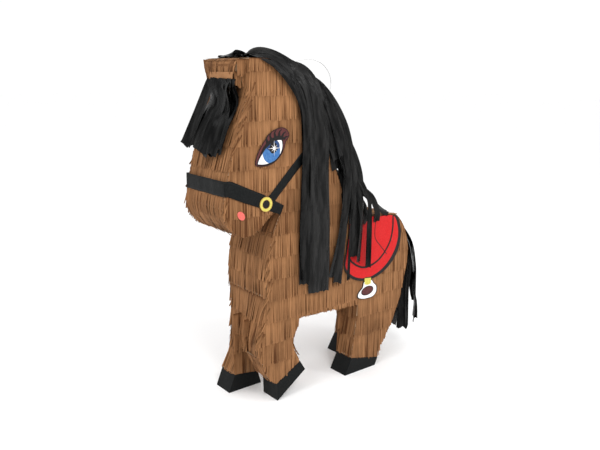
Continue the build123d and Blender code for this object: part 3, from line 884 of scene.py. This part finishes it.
# Streamers
def ribbonPiece(name, controls, outward, width, settings, replaced, tones=None):
    # crepe streamers: smooth lines through their control points, with the outward direction
    # carried along, slow twists and creases, and torn ends
    levels, columns = settings["levels"], settings["columns"]
    centre = smoothLine(controls, levels)
    facing = unit(smoothLine(outward, levels))
    count = len(centre)
    v = np.linspace(0, 1, levels)[None, :]
    phase = rng.random((count, 1)) * 2 * math.pi
    waves = settings["waves"] * (0.6 + 0.8 * rng.random((count, 1)))
    turned = settings["twist"] * rng.standard_normal((count, 1)) * v ** 1.5
    turned = turned + 0.5 * settings["twist"] * np.sin(phase + waves * 2 * math.pi * v) * v
    half = (width * (0.80 + 0.35 * rng.random((count, 1)))) / 2
    pinch = settings["pinch"]
    half = half * (pinch + (1 - pinch) * np.clip(v / 0.2, 0, 1) ** 0.7)
    cup = settings["cup"] * rng.standard_normal((count, 1)) * (0.4 + 0.6 * v)
    points, uv = strips(centre, facing, half, columns, cup, turned)
    # creases: ripples across the width that run along it
    place = np.linspace(0, 1, columns)[None, None, :]
    wander = 2.2 * np.sin(3.1 * v[..., None] + phase[..., None])
    ripple = np.sin(2 * math.pi * (place * settings["folds"] + phase[..., None]) + wander)
    height = settings["ripple"] * ripple * np.clip(v * 4, 0, 1)[..., None]
    points = points + facing[:, :, None] * height[..., None]
    points[:, -1, :, 2] += settings["tear"] * (rng.random((count, columns)) - 0.5)
    tones = rng.uniform(*settings["tones"], count) if tones is None else np.array(tones)
    tint = np.broadcast_to(tones[:, None, None], points.shape[:3])
    made = addMesh(name, points, gridFaces(count, levels, columns), [blackCrepe], uv, tint)
    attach(made, "horse")
    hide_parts(replaced)


mane = {
    "levels": 40, "columns": 7, "waves": 1.1, "twist": 0.17, "pinch": 0.6, "cup": 0.0016,
    "folds": 0.8, "ripple": 0.0013, "tear": 0.004, "above": 0.0020, "tones": (0.0, 0.7),
    "leftLoose": 0.0008, "rightLoose": 0.0035, "rightLimits": (-0.0605, -0.0545),
}
# Each streamer of the left fall: its width, how pale it is, which is painted light and shade
# (paler for the streamers that catch the light, darkest for the inner layer in shade), then points
# from the crest over the shoulder of the neck and down, as (out from the middle, y, z)
leftFall = [
    (12, 0.15, [(12, -36, 494), (40, -32, 496), (53, -8, 486), (55, 20, 460), (55, 38, 428),
         (55, 43, 384), (55, 42, 325), (55, 40, 248), (55, 44, 180)]),
    (18, 0.30, [(12, -30, 494), (34, -22, 499), (50, 0, 489), (54, 26, 468), (56, 43, 434),
         (56, 49, 384), (56, 48, 325), (56, 45, 248), (56, 46, 172)]),
    (22, 0.95, [(10, -12, 491), (34, 4, 495), (50, 24, 483), (56, 44, 460), (57, 56, 425),
         (57, 61, 384), (57, 62, 325), (57, 62, 248), (57, 63, 158)]),
    (21, 0.70, [(10, 8, 485), (34, 26, 490), (50, 44, 477), (57, 58, 452), (58, 67, 418), (58, 73, 384),
         (58, 75, 325), (58, 80, 248), (58, 77, 158)]),
    (17, 0.25, [(8, 22, 471), (32, 44, 479), (48, 62, 463), (56, 80, 437), (57, 94, 405),
         (56, 107, 365), (55, 120, 325), (55, 113, 248), (55, 96, 174)]),
    (19, 0.55, [(8, 38, 455), (30, 60, 465), (46, 82, 447), (55, 100, 421), (57, 114, 388),
         (57, 124, 352), (57, 129, 318), (57, 120, 248), (57, 109, 163)]),
    (6, 0.20, [(6, 48, 442), (28, 72, 452), (45, 94, 434), (54, 110, 406), (57, 124, 372),
         (57, 131, 338), (57, 133, 300), (58, 130, 240), (58, 126, 164)]),
    (18, 0.50, [(6, 60, 424), (28, 84, 434), (45, 102, 416), (54, 116, 388), (57, 128, 356),
         (58, 135, 325), (58, 140, 292), (58, 143, 248), (58, 141, 198)]),
    (13, 0.15, [(6, 72, 406), (26, 94, 412), (42, 112, 394), (53, 126, 366), (57, 137, 336),
         (58, 144, 308), (59, 151, 282), (59, 152, 246), (59, 147, 190)]),
    (12, 0.35, [(6, 84, 386), (26, 104, 392), (42, 120, 374), (52, 131, 350), (56, 142, 326),
         (58, 155, 304), (58, 166, 282), (58, 167, 245), (58, 166, 179)]),
    (9, 0.30, [(6, 94, 363), (24, 114, 368), (40, 129, 350), (50, 140, 330), (55, 153, 308),
         (57, 170, 290), (56, 184, 276), (55, 190, 262), (54, 188, 248)]),
    (9, 0.20, [(6, 104, 341), (20, 124, 342), (36, 140, 326), (47, 152, 308), (53, 168, 292),
         (54, 182, 279), (54, 194, 270), (53, 206, 263), (53, 216, 258)]),
    (18, 0.55, [(14, -40, 494), (26, -34, 499), (36, -14, 499), (44, 8, 491), (50, 32, 476),
         (54, 56, 448), (56, 76, 416), (57, 90, 384), (58, 102, 352)]),
    (20, 0.45, [(10, 30, 464), (28, 50, 474), (42, 72, 460), (52, 92, 434), (56, 107, 402),
         (57, 119, 372), (57, 128, 345), (57, 130, 320), (56, 126, 290)]),
    (18, 0.60, [(8, 66, 415), (24, 88, 424), (40, 106, 408), (50, 119, 384), (55, 131, 358),
         (57, 140, 334), (57, 147, 312), (57, 148, 284), (56, 144, 250)]),
    (24, 0.05, [(6, 20, 473), (18, 30, 474), (30, 42, 466), (40, 57, 450), (44, 72, 430), (47, 86, 410),
         (50, 97, 388), (52, 105, 364), (52, 109, 338)]),
    (24, 0.05, [(6, 44, 448), (18, 56, 448), (30, 68, 438), (40, 83, 418), (45, 98, 394),
         (48, 112, 366), (50, 121, 342), (52, 127, 314), (53, 127, 284)]),
    (24, 0.05, [(6, 66, 415), (18, 78, 414), (30, 90, 404), (40, 103, 384), (46, 116, 358),
         (49, 127, 330), (52, 135, 304), (53, 141, 280), (53, 142, 252)]),
    (22, 0.05, [(6, 84, 386), (18, 96, 382), (30, 106, 370), (40, 118, 350), (46, 129, 326),
         (50, 139, 304), (53, 148, 286), (54, 153, 268), (54, 154, 246)]),
    (20, 0.05, [(6, 100, 348), (18, 110, 342), (30, 120, 330), (40, 130, 314), (47, 140, 298),
         (52, 150, 286), (54, 158, 274), (54, 163, 262), (54, 166, 250)]),
    (20, 0.05, [(6, 112, 320), (18, 120, 314), (30, 128, 304), (40, 134, 294), (47, 140, 284),
         (52, 146, 276), (54, 152, 266), (54, 156, 256), (54, 158, 244)]),
]


def fallOf(streamers, side, loose):
    # control points with the outward direction beside them: up the crest's slope at the root,
    # turning to the side over the shoulder. loose moves the lower points about at random
    widths = np.array([streamer[0] for streamer in streamers]) / 1000
    points = inSpace([streamer[2] for streamer in streamers])
    sink = np.array([0, 0.3, 0.6, 1, 1, 1, 1, 1, 1])
    points += loose * rng.standard_normal(points.shape) * (0.3, 1, 1) * sink[None, :, None]
    points[..., 0] *= side
    surface = np.interp(points[:, 0, 1], crestFine[:, 0], crestFine[:, 1])
    points[:, 0, 2] = np.where(points[:, 0, 1] > crestFine[0, 0], surface + mane["above"], points[:, 0, 2])
    slope = np.clip(0.3 + 0.55 * (points[:, :, 1] * 1000 + toeToOrigin) / 100, 0, 0.9)
    turn = np.array([0.0, 0.35, 0.75, 0.95, 1, 1, 1, 1, 1])[None, :]
    guide = np.stack([side * (turn + 0.02) + 0 * slope, slope * (1 - turn), 1 - turn + 0 * slope], -1)
    guide[:, 5:, 1] += 0.12 * rng.standard_normal((len(points), 4))
    return points, guide, widths[:, None]


leftControls, leftFaces, leftWidths = fallOf(leftFall, 1, mane["leftLoose"])
rightControls, rightFaces, rightWidths = fallOf(leftFall[::-1], -1, mane["rightLoose"])
rightControls[..., 0] = np.minimum(rightControls[..., 0], -0.004)
rightControls[:, 4:, 0] = np.clip(rightControls[:, 4:, 0], *mane["rightLimits"])
leftLitAndShadedTones = [streamer[1] for streamer in leftFall]
ribbonPiece("maneLeft", leftControls, leftFaces, leftWidths, mane, "mane_left_fall", leftLitAndShadedTones)
ribbonPiece("maneRight", rightControls, rightFaces, rightWidths, mane, "mane_right_fall")
# Ridge: streamers laid lengthwise over the crest, where the roots of both falls are glued. They
# leave its middle free for the hanging loop
ridge = dict(mane, twist=0.05, pinch=1.0, tear=0.002, tones=(0.0, 0.4), lift=0.0026, width=0.0105)
ridgeY = np.linspace(crestFine[0, 0] + 0.003, crestFine[-1, 0] - 0.003, 24)
ridgeZ = np.interp(ridgeY, crestFine[:, 0], crestFine[:, 1])
ridgeSlope = np.gradient(ridgeZ, ridgeY)
ridgeX = np.array([-0.0290, -0.0210, -0.0131, -0.0053, 0.0053, 0.0131, 0.0210, 0.0290])[:, None]
ridgeNormal = unit(np.stack([-ridgeSlope, np.ones(len(ridgeY))], -1)) * ridge["lift"]
outY, outZ = ridgeNormal[:, 0], ridgeNormal[:, 1]
ridgeControls = np.stack(np.broadcast_arrays(ridgeX, ridgeY + outY, ridgeZ + outZ), -1)
ridgeGuide = np.stack(np.broadcast_arrays(0 * ridgeX, outY, outZ), -1)
ribbonPiece("maneRidge", ridgeControls, ridgeGuide, ridge["width"], ridge, "mane_ridge")
print("mane done")
print("mane done")

# Forelock: streamers glued behind the band, hanging in front of the forehead. Their tones run
# darker than the mane's, a painted shade for the front-facing forelock
forelock = {
    "levels": 22, "columns": 6, "waves": 0.8, "twist": 0.08, "pinch": 0.8, "cup": 0.0016,
    "folds": 0.5, "ripple": 0.0008, "tear": 0.005, "width": 0.0215, "tones": (-0.4, 0.15),
    "top": 0.4665, "earFront": -0.1765, "off": 0.003,
}
# root x, end x, end z, stand-off
foreDrops = [
    (-15, -46, 382, 5), (-8, -36, 372, 3), (-1, -26, 371, 7), (6, -15, 368, 4), (12, -5, 366, 9),
    (19, 5, 367, 5), (25, 15, 369, 8), (29, 22, 371, 3), (31, 27, 378, 5), (8, -18, 394, 1), (24, 2, 396, 1),
    (31, 20, 390, 1),
]
rootX, endX, endZ, off = (np.array(column, float) / 1000 for column in zip(*foreDrops))


def foreheadY(z):
    return np.interp(-z, -forehead[:, 1], forehead[:, 0])


lines, faces = [], []
for share in (0.0, 0.12, 0.35, 0.65, 1.0):
    z = forelock["top"] + (endZ - forelock["top"]) * share
    x = rootX + (endX - rootX) * share ** 1.2
    surface = np.minimum(foreheadY(z), forelock["earFront"] if share < 0.2 else 1.0)
    stand = forelock["off"] + off * min(1.0, 1.5 * share) + 0.0008 * rng.standard_normal(len(z))
    lines.append(np.stack([x, surface - stand, z], -1))
    faces.append(np.stack([0.2 * rng.standard_normal(len(z)), -np.ones(len(z)), 0.1 * np.ones(len(z))], -1))
stray = inSpace([[(-19, -62, 464), (-27, -66, 444), (-36, -71, 422), (-46, -77, 398), (-56, -83, 373)]])
strayFace = np.tile(np.array([0.25, -1.0, 0.1]), (1, 5, 1))
foreControls = np.concatenate([np.stack(lines, 1), stray])
foreFaces = np.concatenate([np.stack(faces, 1), strayFace])
ribbonPiece("forelockStreamers", foreControls, foreFaces, forelock["width"], forelock, "forelock")
print("forelock done")

# Tail: streamers from one root at the top of the rump
tail = {
    "levels": 26, "columns": 6, "waves": 1.0, "twist": 0.3, "pinch": 0.5, "cup": 0.0016,
    "folds": 0.5, "ripple": 0.0009, "tear": 0.006, "tones": (-0.3, 0.3), "wider": 1.4,
}
# each streamer: its width, then points from its root at the top of the rump, as (x, y, z)
tailFall = [
    (15, [(8, 262, 228), (18, 275, 228), (24, 288, 215), (28, 301, 188), (30, 308, 150), (30, 309, 113),
         (30, 315, 84), (30, 316, 52)]),
    (16, [(6, 262, 227), (14, 274, 226), (20, 285, 212), (25, 297, 186), (28, 302, 150), (29, 300, 113),
         (29, 302, 80), (28, 303, 37)]),
    (16, [(4, 262, 226), (12, 272, 224), (17, 281, 210), (22, 291, 184), (25, 294, 148), (26, 290, 110),
         (26, 291, 75), (26, 290, 38)]),
    (15, [(2, 262, 225), (12, 271, 222), (17, 279, 206), (21, 285, 180), (22, 286, 145), (22, 281, 108),
         (22, 278, 76), (22, 274, 46)]),
    (14, [(0, 262, 225), (8, 271, 221), (12, 278, 204), (16, 283, 178), (18, 283, 142), (18, 276, 106),
         (18, 270, 78), (18, 265, 56)]),
    (15, [(2, 262, 229), (8, 276, 229), (12, 290, 215), (14, 303, 186), (14, 309, 148), (12, 308, 112),
         (12, 312, 76), (12, 310, 40)]),
    (15, [(-2, 262, 227), (2, 275, 226), (4, 287, 212), (4, 299, 184), (2, 304, 146), (0, 302, 110),
         (0, 304, 74), (-2, 300, 38)]),
    (15, [(-4, 262, 226), (-4, 273, 223), (-6, 283, 208), (-10, 293, 180), (-12, 297, 144),
         (-14, 294, 108), (-14, 294, 72), (-16, 290, 42)]),
    (14, [(-6, 262, 228), (-10, 275, 227), (-15, 288, 212), (-20, 299, 184), (-22, 305, 148),
         (-22, 306, 112), (-20, 310, 82), (-20, 308, 50)]),
    (14, [(-3, 262, 225), (-8, 271, 220), (-14, 278, 202), (-20, 284, 176), (-23, 285, 142),
         (-23, 280, 108), (-22, 276, 78), (-20, 270, 52)]),
    (5, [(6, 262, 229), (18, 277, 229), (25, 291, 216), (29, 305, 188), (31, 313, 150), (31, 314, 116),
         (31, 320, 88), (31, 324, 60)]),
    (4, [(4, 262, 228), (16, 276, 228), (24, 289, 214), (29, 303, 186), (31, 311, 148), (31, 312, 112),
         (32, 321, 78), (30, 315, 44)]),
    (9, [(0, 262, 228), (10, 274, 227), (18, 287, 213), (24, 300, 186), (27, 307, 150), (27, 311, 116),
         (27, 317, 96), (26, 322, 82)]),
]
tailWidths = np.array([width for width, _ in tailFall])[:, None] / 1000 * tail["wider"]
tailControls = inSpace([line for _, line in tailFall])
tailControls[:, 2:] += 0.0008 * rng.standard_normal(tailControls[:, 2:].shape)
lean = np.array([0.1, 0.35, 0.7, 1, 1, 1, 1, 1])[None, :]
swing = 0.45 * rng.standard_normal((len(tailFall), 1)) * np.linspace(0.2, 1, 8)[None, :] + 0.45
tailGuide = np.stack([swing, lean + 0 * swing, 1.05 - lean + 0 * swing], -1)
ribbonPiece("tailStreamers", tailControls, tailGuide, tailWidths, tail, "tail")
print("tail done")


# Printed paper
def atSide(outline, x, side):
    # (y, z) points as (x, y, z) ones, x out to the side
    return np.concatenate([np.full((len(outline), 1), side * x), outline], 1)


def turnedRound(outline, side):
    # whether an outline runs the wrong way round for its faces to look out of this side
    y, z = outline[:, 0], outline[:, 1]
    area = 0.5 * np.sum(y * np.roll(z, -1) - np.roll(y, -1) * z)
    return (area > 0) != (side > 0)


def prism(outline, x, depth, side):
    # a flat shape of (y, z) points from x out to x + depth: front, rim and back
    number = len(outline)
    points = np.concatenate([atSide(outline, at, side) for at in (x, x + depth)])
    order = np.arange(number)
    if turnedRound(outline, side):
        order = order[::-1]
    after = np.roll(order, -1)
    rim = np.stack([order, after, after + number, order + number], 1)
    return points, [(order + number).tolist(), order[::-1].tolist(), *rim.tolist()]


def ringBand(outer, inner, x, depth, side):
    # a flat ring between two outlines of the same number of points
    number = len(outer)
    if turnedRound(outer, side):
        outer, inner = outer[::-1], inner[::-1]
    loops = [(inner, x), (outer, x), (outer, x + depth), (inner, x + depth)]
    points = np.concatenate([atSide(loop, at, side) for loop, at in loops])
    order = np.arange(number)
    after = np.roll(order, -1)
    faces = []
    for k in range(4):
        a, b = k * number, ((k + 1) % 4) * number
        faces += np.stack([a + order, a + after, b + after, b + order], 1).tolist()
    return points, faces


def stroke(points, width, x, depth, side, kind):
    # an inked line: a narrow flat shape along a smooth line of (y, z) points
    closed = kind == "loop"
    line = smoothLoop(points, 6) if closed else smoothLine(np.asarray(points)[None], 6 * len(points))[0]
    direction = np.roll(line, -1, 0) - np.roll(line, 1, 0) if closed else np.gradient(line, axis=0)
    direction = unit(direction)
    normal = np.stack([-direction[:, 1], direction[:, 0]], -1)
    half = np.full((len(line), 1), width / 2)
    if kind == "taper":
        half = half * np.linspace(1, 0.12, len(line))[:, None]
    if closed:
        return ringBand(line + normal * half, line - normal * half, x, depth, side)
    return prism(np.concatenate([line + normal * half, (line - normal * half)[::-1]]), x, depth, side)


def printPiece(name, rows, side, replaced):
    # each row: its kind, its shape, a line's width, how far it starts out of the side, how deep it
    # is, all in millimetres, and its ink. All rows are joined into one piece
    points, faces, which, inks, start = [], [], [], [], 0
    for kind, shape, width, out, depth, ink in rows:
        x, deep = halfBody + out / 1000, depth / 1000
        if kind == "fill":
            layerPoints, layerFaces = prism(shape, x, deep, side)
        elif kind == "ring":
            layerPoints, layerFaces = ringBand(*shape, x, deep, side)
        else:
            layerPoints, layerFaces = stroke(shape, width / 1000, x, deep, side, kind)
        if ink not in inks:
            inks.append(ink)
        points.append(layerPoints)
        faces += [[corner + start for corner in face] for face in layerFaces]
        which += [inks.index(ink)] * len(layerFaces)
        start += len(layerPoints)
    made = addMesh(name, np.concatenate(points), faces, inks, which=which, smooth=False)
    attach(made, "horse")
    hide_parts(replaced)


def ovalLoop(centre, across, up, tilt=0.0, number=48):
    angle = np.arange(number) / number * 2 * math.pi
    y, z = across * np.cos(angle), up * np.sin(angle)
    lean = math.radians(tilt)
    leanY, leanZ = y * math.cos(lean) - z * math.sin(lean), y * math.sin(lean) + z * math.cos(lean)
    return fromDrawing(np.stack([centre[0] + leanY, centre[1] + leanZ], -1))


def clipped(outline, holder):
    # pull points of an outline that lie outside the holder back towards the holder's middle
    middle = holder.mean(0)
    for _ in range(24):
        outside = ~within(holder, outline[:, 0], outline[:, 1])
        outline = np.where(outside[:, None], middle + (outline - middle) * 0.96, outline)
    return outline


eyeWhite = smoothLoop(fromDrawing([
    (-35.5, 356.5), (-30, 368), (-25, 377), (-17, 384.5), (-6, 388.5), (4, 387), (6.6, 378), (3.5, 368),
    (-6, 358.5), (-20, 354.4), (-31, 354.4),
]))
lid = smoothLoop(fromDrawing([
    (-33, 362), (-25, 377), (-17, 385.5), (-6, 391), (4, 391.5), (9, 388), (5, 386), (-4, 385.6),
    (-14, 381.6), (-23, 374.5),
]))
star = {"centre": (-8.0, 375.4), "long": 10.8, "short": 6.2, "waist": 1.5}
starPoint = np.arange(16)
starAngle = starPoint / 16 * 2 * math.pi + math.pi / 2
starReach = np.where(starPoint % 4 == 0, star["long"], star["short"])
starReach = np.where(starPoint % 2 == 1, star["waist"], starReach)
starOutline = np.stack([np.cos(starAngle), np.sin(starAngle)], -1) * starReach[:, None]
starOutline = fromDrawing(starOutline + star["centre"])
lashes = [
    [(-19, 383), (-20.5, 389), (-18.5, 393.5)], [(-13, 387), (-14.5, 393), (-12, 397.5)],
    [(-6, 389.5), (-7, 396), (-4, 400)], [(0.5, 390), (1, 396.5), (5, 400.5)],
    [(5, 389.5), (8, 394.5), (12.5, 397)], [(7.5, 387), (12, 389.5), (16, 390.5)],
]
eyeRows = [
    ("fill", eyeOutline, 0, 0, 0.8, maroonInk),
    ("loop", eyeOutline[::8], 1.2, 0.7, 0.2, darkMaroonInk),
    ("fill", eyeWhite, 0, 0.8, 0.12, whiteInk),
    ("loop", eyeWhite[::8], 1.6, 0.85, 0.2, blackInk),
    ("fill", clipped(ovalLoop((-12.5, 371.0), 14.6, 15.8, -10), eyeWhite), 0, 0.9, 0.1, irisInk),
    ("fill", clipped(ovalLoop((-10.5, 379.5), 12.0, 8.4, -10), eyeWhite), 0, 0.95, 0.1, irisShade),
    ("fill", clipped(ovalLoop((-9.5, 376.0), 6.2, 7.4, -8), eyeWhite), 0, 1.0, 0.1, blackInk),
    ("fill", lid, 0, 1.0, 0.16, blackInk),
    ("fill", starOutline, 0, 1.1, 0.16, whiteInk),
    *(("taper", fromDrawing(lash), 4.2, 0.85, 0.2, blackInk) for lash in lashes),
]

redOutline = smoothLoop(fromDrawing([
    (138.5, 261.5), (170, 258), (200, 254.8), (230, 252), (240.5, 236), (243, 214), (234.5, 191), (214, 170),
    (187, 158.8), (164, 159), (143, 167.5), (129, 183), (130, 200), (134.5, 231),
]))
piping = fromDrawing([
    (229.5, 252), (229.5, 229), (223, 207), (204, 186), (182, 176.8), (163, 177.4), (146, 186), (136, 197),
    (134.5, 214),
])
seatLine = fromDrawing([(191, 254), (189.5, 236), (191, 220), (203, 206), (218, 190)])
seam = fromDrawing([(150, 256), (153, 230), (150, 204), (158, 184)])
saddleRows = [
    ("fill", saddleOutline, 0, 0, 0.8, blackInk),
    ("fill", redOutline, 0, 0.8, 0.18, redInk),
    ("line", piping, 3.0, 0.95, 0.35, blackInk),
    ("line", seatLine, 1.3, 0.95, 0.2, blackInk),
    ("line", seam, 1.3, 0.95, 0.2, blackInk),
    ("line", fromDrawing([(172, 236.6), (182.5, 235)]), 3.4, 1.0, 0.3, goldInk),
    ("line", fromDrawing([(172, 222.8), (182.5, 221.2)]), 3.4, 1.0, 0.3, goldInk),
]
stirrupMiddle = fromDrawing([(177.5, 135.5)])[0]
tab = fromDrawing([(170, 158.5), (184, 157), (184, 146.5), (178, 145.5), (170.5, 147.5)])
stirrupRows = [
    ("fill", stirrupOutline, 0, 0, 0.8, blackInk),
    ("fill", stirrupMiddle + (stirrupOutline - stirrupMiddle) * 0.93, 0, 0.8, 0.12, whiteInk),
    ("fill", ovalLoop((177, 135.8), 13.5, 7.6, 4), 0, 0.9, 0.12, blackInk),
    ("fill", ovalLoop((177, 135.8), 12.0, 6.3, 4), 0, 1.0, 0.12, maroonInk),
    ("fill", tab, 0, 0.9, 0.45, yellowInk),
    ("line", tab[[0, 1]], 1.2, 1.1, 0.4, blackInk),
]
ring = {radius: ovalLoop((-22, 300), radius, radius) for radius in (10, 6.2, 10.4, 9.6, 6.6, 5.9)}
ringRows = [
    ("ring", (ring[10], ring[6.2]), 0, 1.0, 0.8, yellowInk),
    ("ring", (ring[10.4], ring[9.6]), 0, 1.0, 0.95, goldInk),
    ("ring", (ring[6.6], ring[5.9]), 0, 1.0, 0.95, goldInk),
    ("fill", ring[6.2], 0, 1.0, 0.3, blackInk),
]
nostrilRows = [("fill", ovalLoop((-62, 288.6), 7.0, 4.75, -50), 0, 0, 0.8, pinkInk)]
for side, word in bothSides:
    printPiece(word + "EyePrint", eyeRows, side, word + "_eye")
    printPiece(word + "SaddlePrint", saddleRows, side, word + "_saddle")
    printPiece(word + "StirrupPrint", stirrupRows, side, word + "_stirrup")
    printPiece(word + "RingPrint", ringRows, side, "bridle_rings")
    printPiece(word + "NostrilPrint", nostrilRows, side, "nostrils")
print("prints done")

# Straps
strap = {"columns": 7, "thick": 0.0005, "cup": 0.00012, "tint": 0.5}


def strapPiece(name, centre, outward, half, replaced, material=blackPaper):
    # one paper strap with soft waves along it, given some thickness
    v = np.linspace(0, 1, len(centre))
    lift = 0.00022 * np.sin(v * 61) + 0.00018 * np.sin(v * 143 + 1)
    centre = (centre + outward * lift[:, None])[None]
    points, uv = strips(centre, outward[None], half, strap["columns"], strap["cup"])
    faces = gridFaces(1, len(v), strap["columns"])
    made = addMesh(name, points, faces, [material], uv, np.full(points.shape[:3], strap["tint"]))
    thick = made.modifiers.new("thick", "SOLIDIFY")
    thick.thickness = strap["thick"]
    thick.offset = -1
    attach(made, "horse")
    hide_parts(replaced)


# noseband: rear end of the left side, forward, round the front and back along the right side
bandY = (np.array([6, -28, -55, -80]) - toeToOrigin) / 1000
bandZ = np.array([288.5, 304.5, 315.5, 326.5]) / 1000
bandHalf = np.array([6.8, 9.4, 10.0, 10.4]) / 1000
sideX = halfBody + 0.0007
frontY = float(foreheadY(np.array([0.3165]))[0]) - 0.0016
turnRadius = 0.003
plan = [(sideX, bandY[0])]
plan += [(sideX, y) for y in np.linspace(bandY[0], frontY + turnRadius, 26)[1:]]
for angle in np.linspace(0, math.pi / 2, 6)[1:]:
    plan.append((sideX - turnRadius * (1 - math.cos(angle)), frontY + turnRadius * (1 - math.sin(angle))))
plan += [(x, frontY) for x in np.linspace(sideX - turnRadius, 0, 10)[1:]]
plan = np.array(plan)
plan = np.concatenate([plan, (plan * (-1, 1))[::-1][1:]])
centreZ = np.interp(plan[:, 1], bandY[::-1], bandZ[::-1])
half = np.interp(plan[:, 1], bandY[::-1], bandHalf[::-1])
direction = unit(np.gradient(plan, axis=0))
outward = np.stack([-direction[:, 1], direction[:, 0], np.zeros(len(plan))], -1)
middleAt = np.array([0, plan[:, 1].mean()])
flip = np.sign(((plan - middleAt) * outward[:, :2]).sum(1))[:, None]
outward = outward * np.where(flip == 0, 1, flip)
strapPiece("nosebandStrap", np.concatenate([plan, centreZ[:, None]], 1), outward, half[None], "noseband")
cheek = {"x": halfBody + 0.0006, "half": 0.0062, "steps": 30}
ends = fromDrawing([(-19, 299), (62, 379)])
line = ends[0] + (ends[1] - ends[0]) * np.linspace(0, 1, cheek["steps"])[:, None]
for side, word in bothSides:
    centre = atSide(line, cheek["x"], side)
    strapPiece(word + "CheekStrap", centre, sidewards(centre, side), cheek["half"], word + "_cheek_strap")
# forelock band: folded tissue across the front of the ears block
band = {"left": 0.0335, "right": -0.0238, "y": -0.1792, "z": 0.4705, "half": 0.0047, "steps": 40}
bandX = np.linspace(band["left"], band["right"], band["steps"])
centre = np.stack(np.broadcast_arrays(bandX, band["y"], band["z"]), -1)
outward = np.tile(np.array([0.0, -1.0, 0.08]), (band["steps"], 1))
strapPiece("forelockBand", centre, outward, band["half"], "forelock_band", bandTissue)
print("straps done")

# CAD pieces that show as they are, by how their names end
finish = {
    ("_panel", "_strip", "_strips", "_apron", "_patch", "_flap", "_block"): brownCard,
    ("_hoof",): blackPaper,
    ("loop_knots",): cordMaterial,
}
for endings, material in finish.items():
    for name in nodes:
        if name.endswith(endings):
            for slot in nodes[name].material_slots:
                slot.material = material

# Floor and light
stage = {"reach": 14.0, "world": 1.03}
floorData = bpy.data.meshes.new("floor")
floorCorners = [(x * stage["reach"], y * stage["reach"], 0) for x, y in ((-1, -1), (1, -1), (1, 1), (-1, 1))]
floorData.from_pydata(floorCorners, [], [(0, 1, 2, 3)])
floor = addObject("floor", floorData)
floorMaterial, tree, shader = startMaterial("floor")
mottle = grain(tree, objectPlace(tree), (1, 1, 1), 6.0)
white = ramp(tree, mottle, (0.3, (0.965, 0.965, 0.965)), (0.7, (0.985, 0.985, 0.985)))
feed(tree, shader.inputs["Base Color"], white)
shader.inputs["Roughness"].default_value = 0.9
floorData.materials.append(floorMaterial)
floor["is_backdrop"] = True

world = bpy.data.worlds.new("studio")
bpy.context.scene.world = world
world.use_nodes = True
world.node_tree.nodes["Background"].inputs[0].default_value = (1, 1, 1, 1)
world.node_tree.nodes["Background"].inputs[1].default_value = stage["world"]
# name, place, what it points at, size in metres, watts
for name, place, aim, size, power in (
    ("key", (1.05, -0.30, 1.15), (0, -0.05, 0.32), 0.5, 6.8),
    ("front", (0.35, -1.15, 1.25), (0, -0.1, 0.36), 0.5, 5.0),
    ("gloss", (1.35, 1.15, 0.95), (0, 0, 0.34), 0.3, 6),
):
    light = bpy.data.lights.new(name, "AREA")
    light.size = size
    light.energy = power
    lightObject = addObject(name, light)
    lightObject.location = place
    lightObject.rotation_mode = "QUATERNION"
    lightObject.rotation_quaternion = (Vector(aim) - Vector(place)).to_track_quat("-Z", "Y")
print("stage done")

low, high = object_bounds()
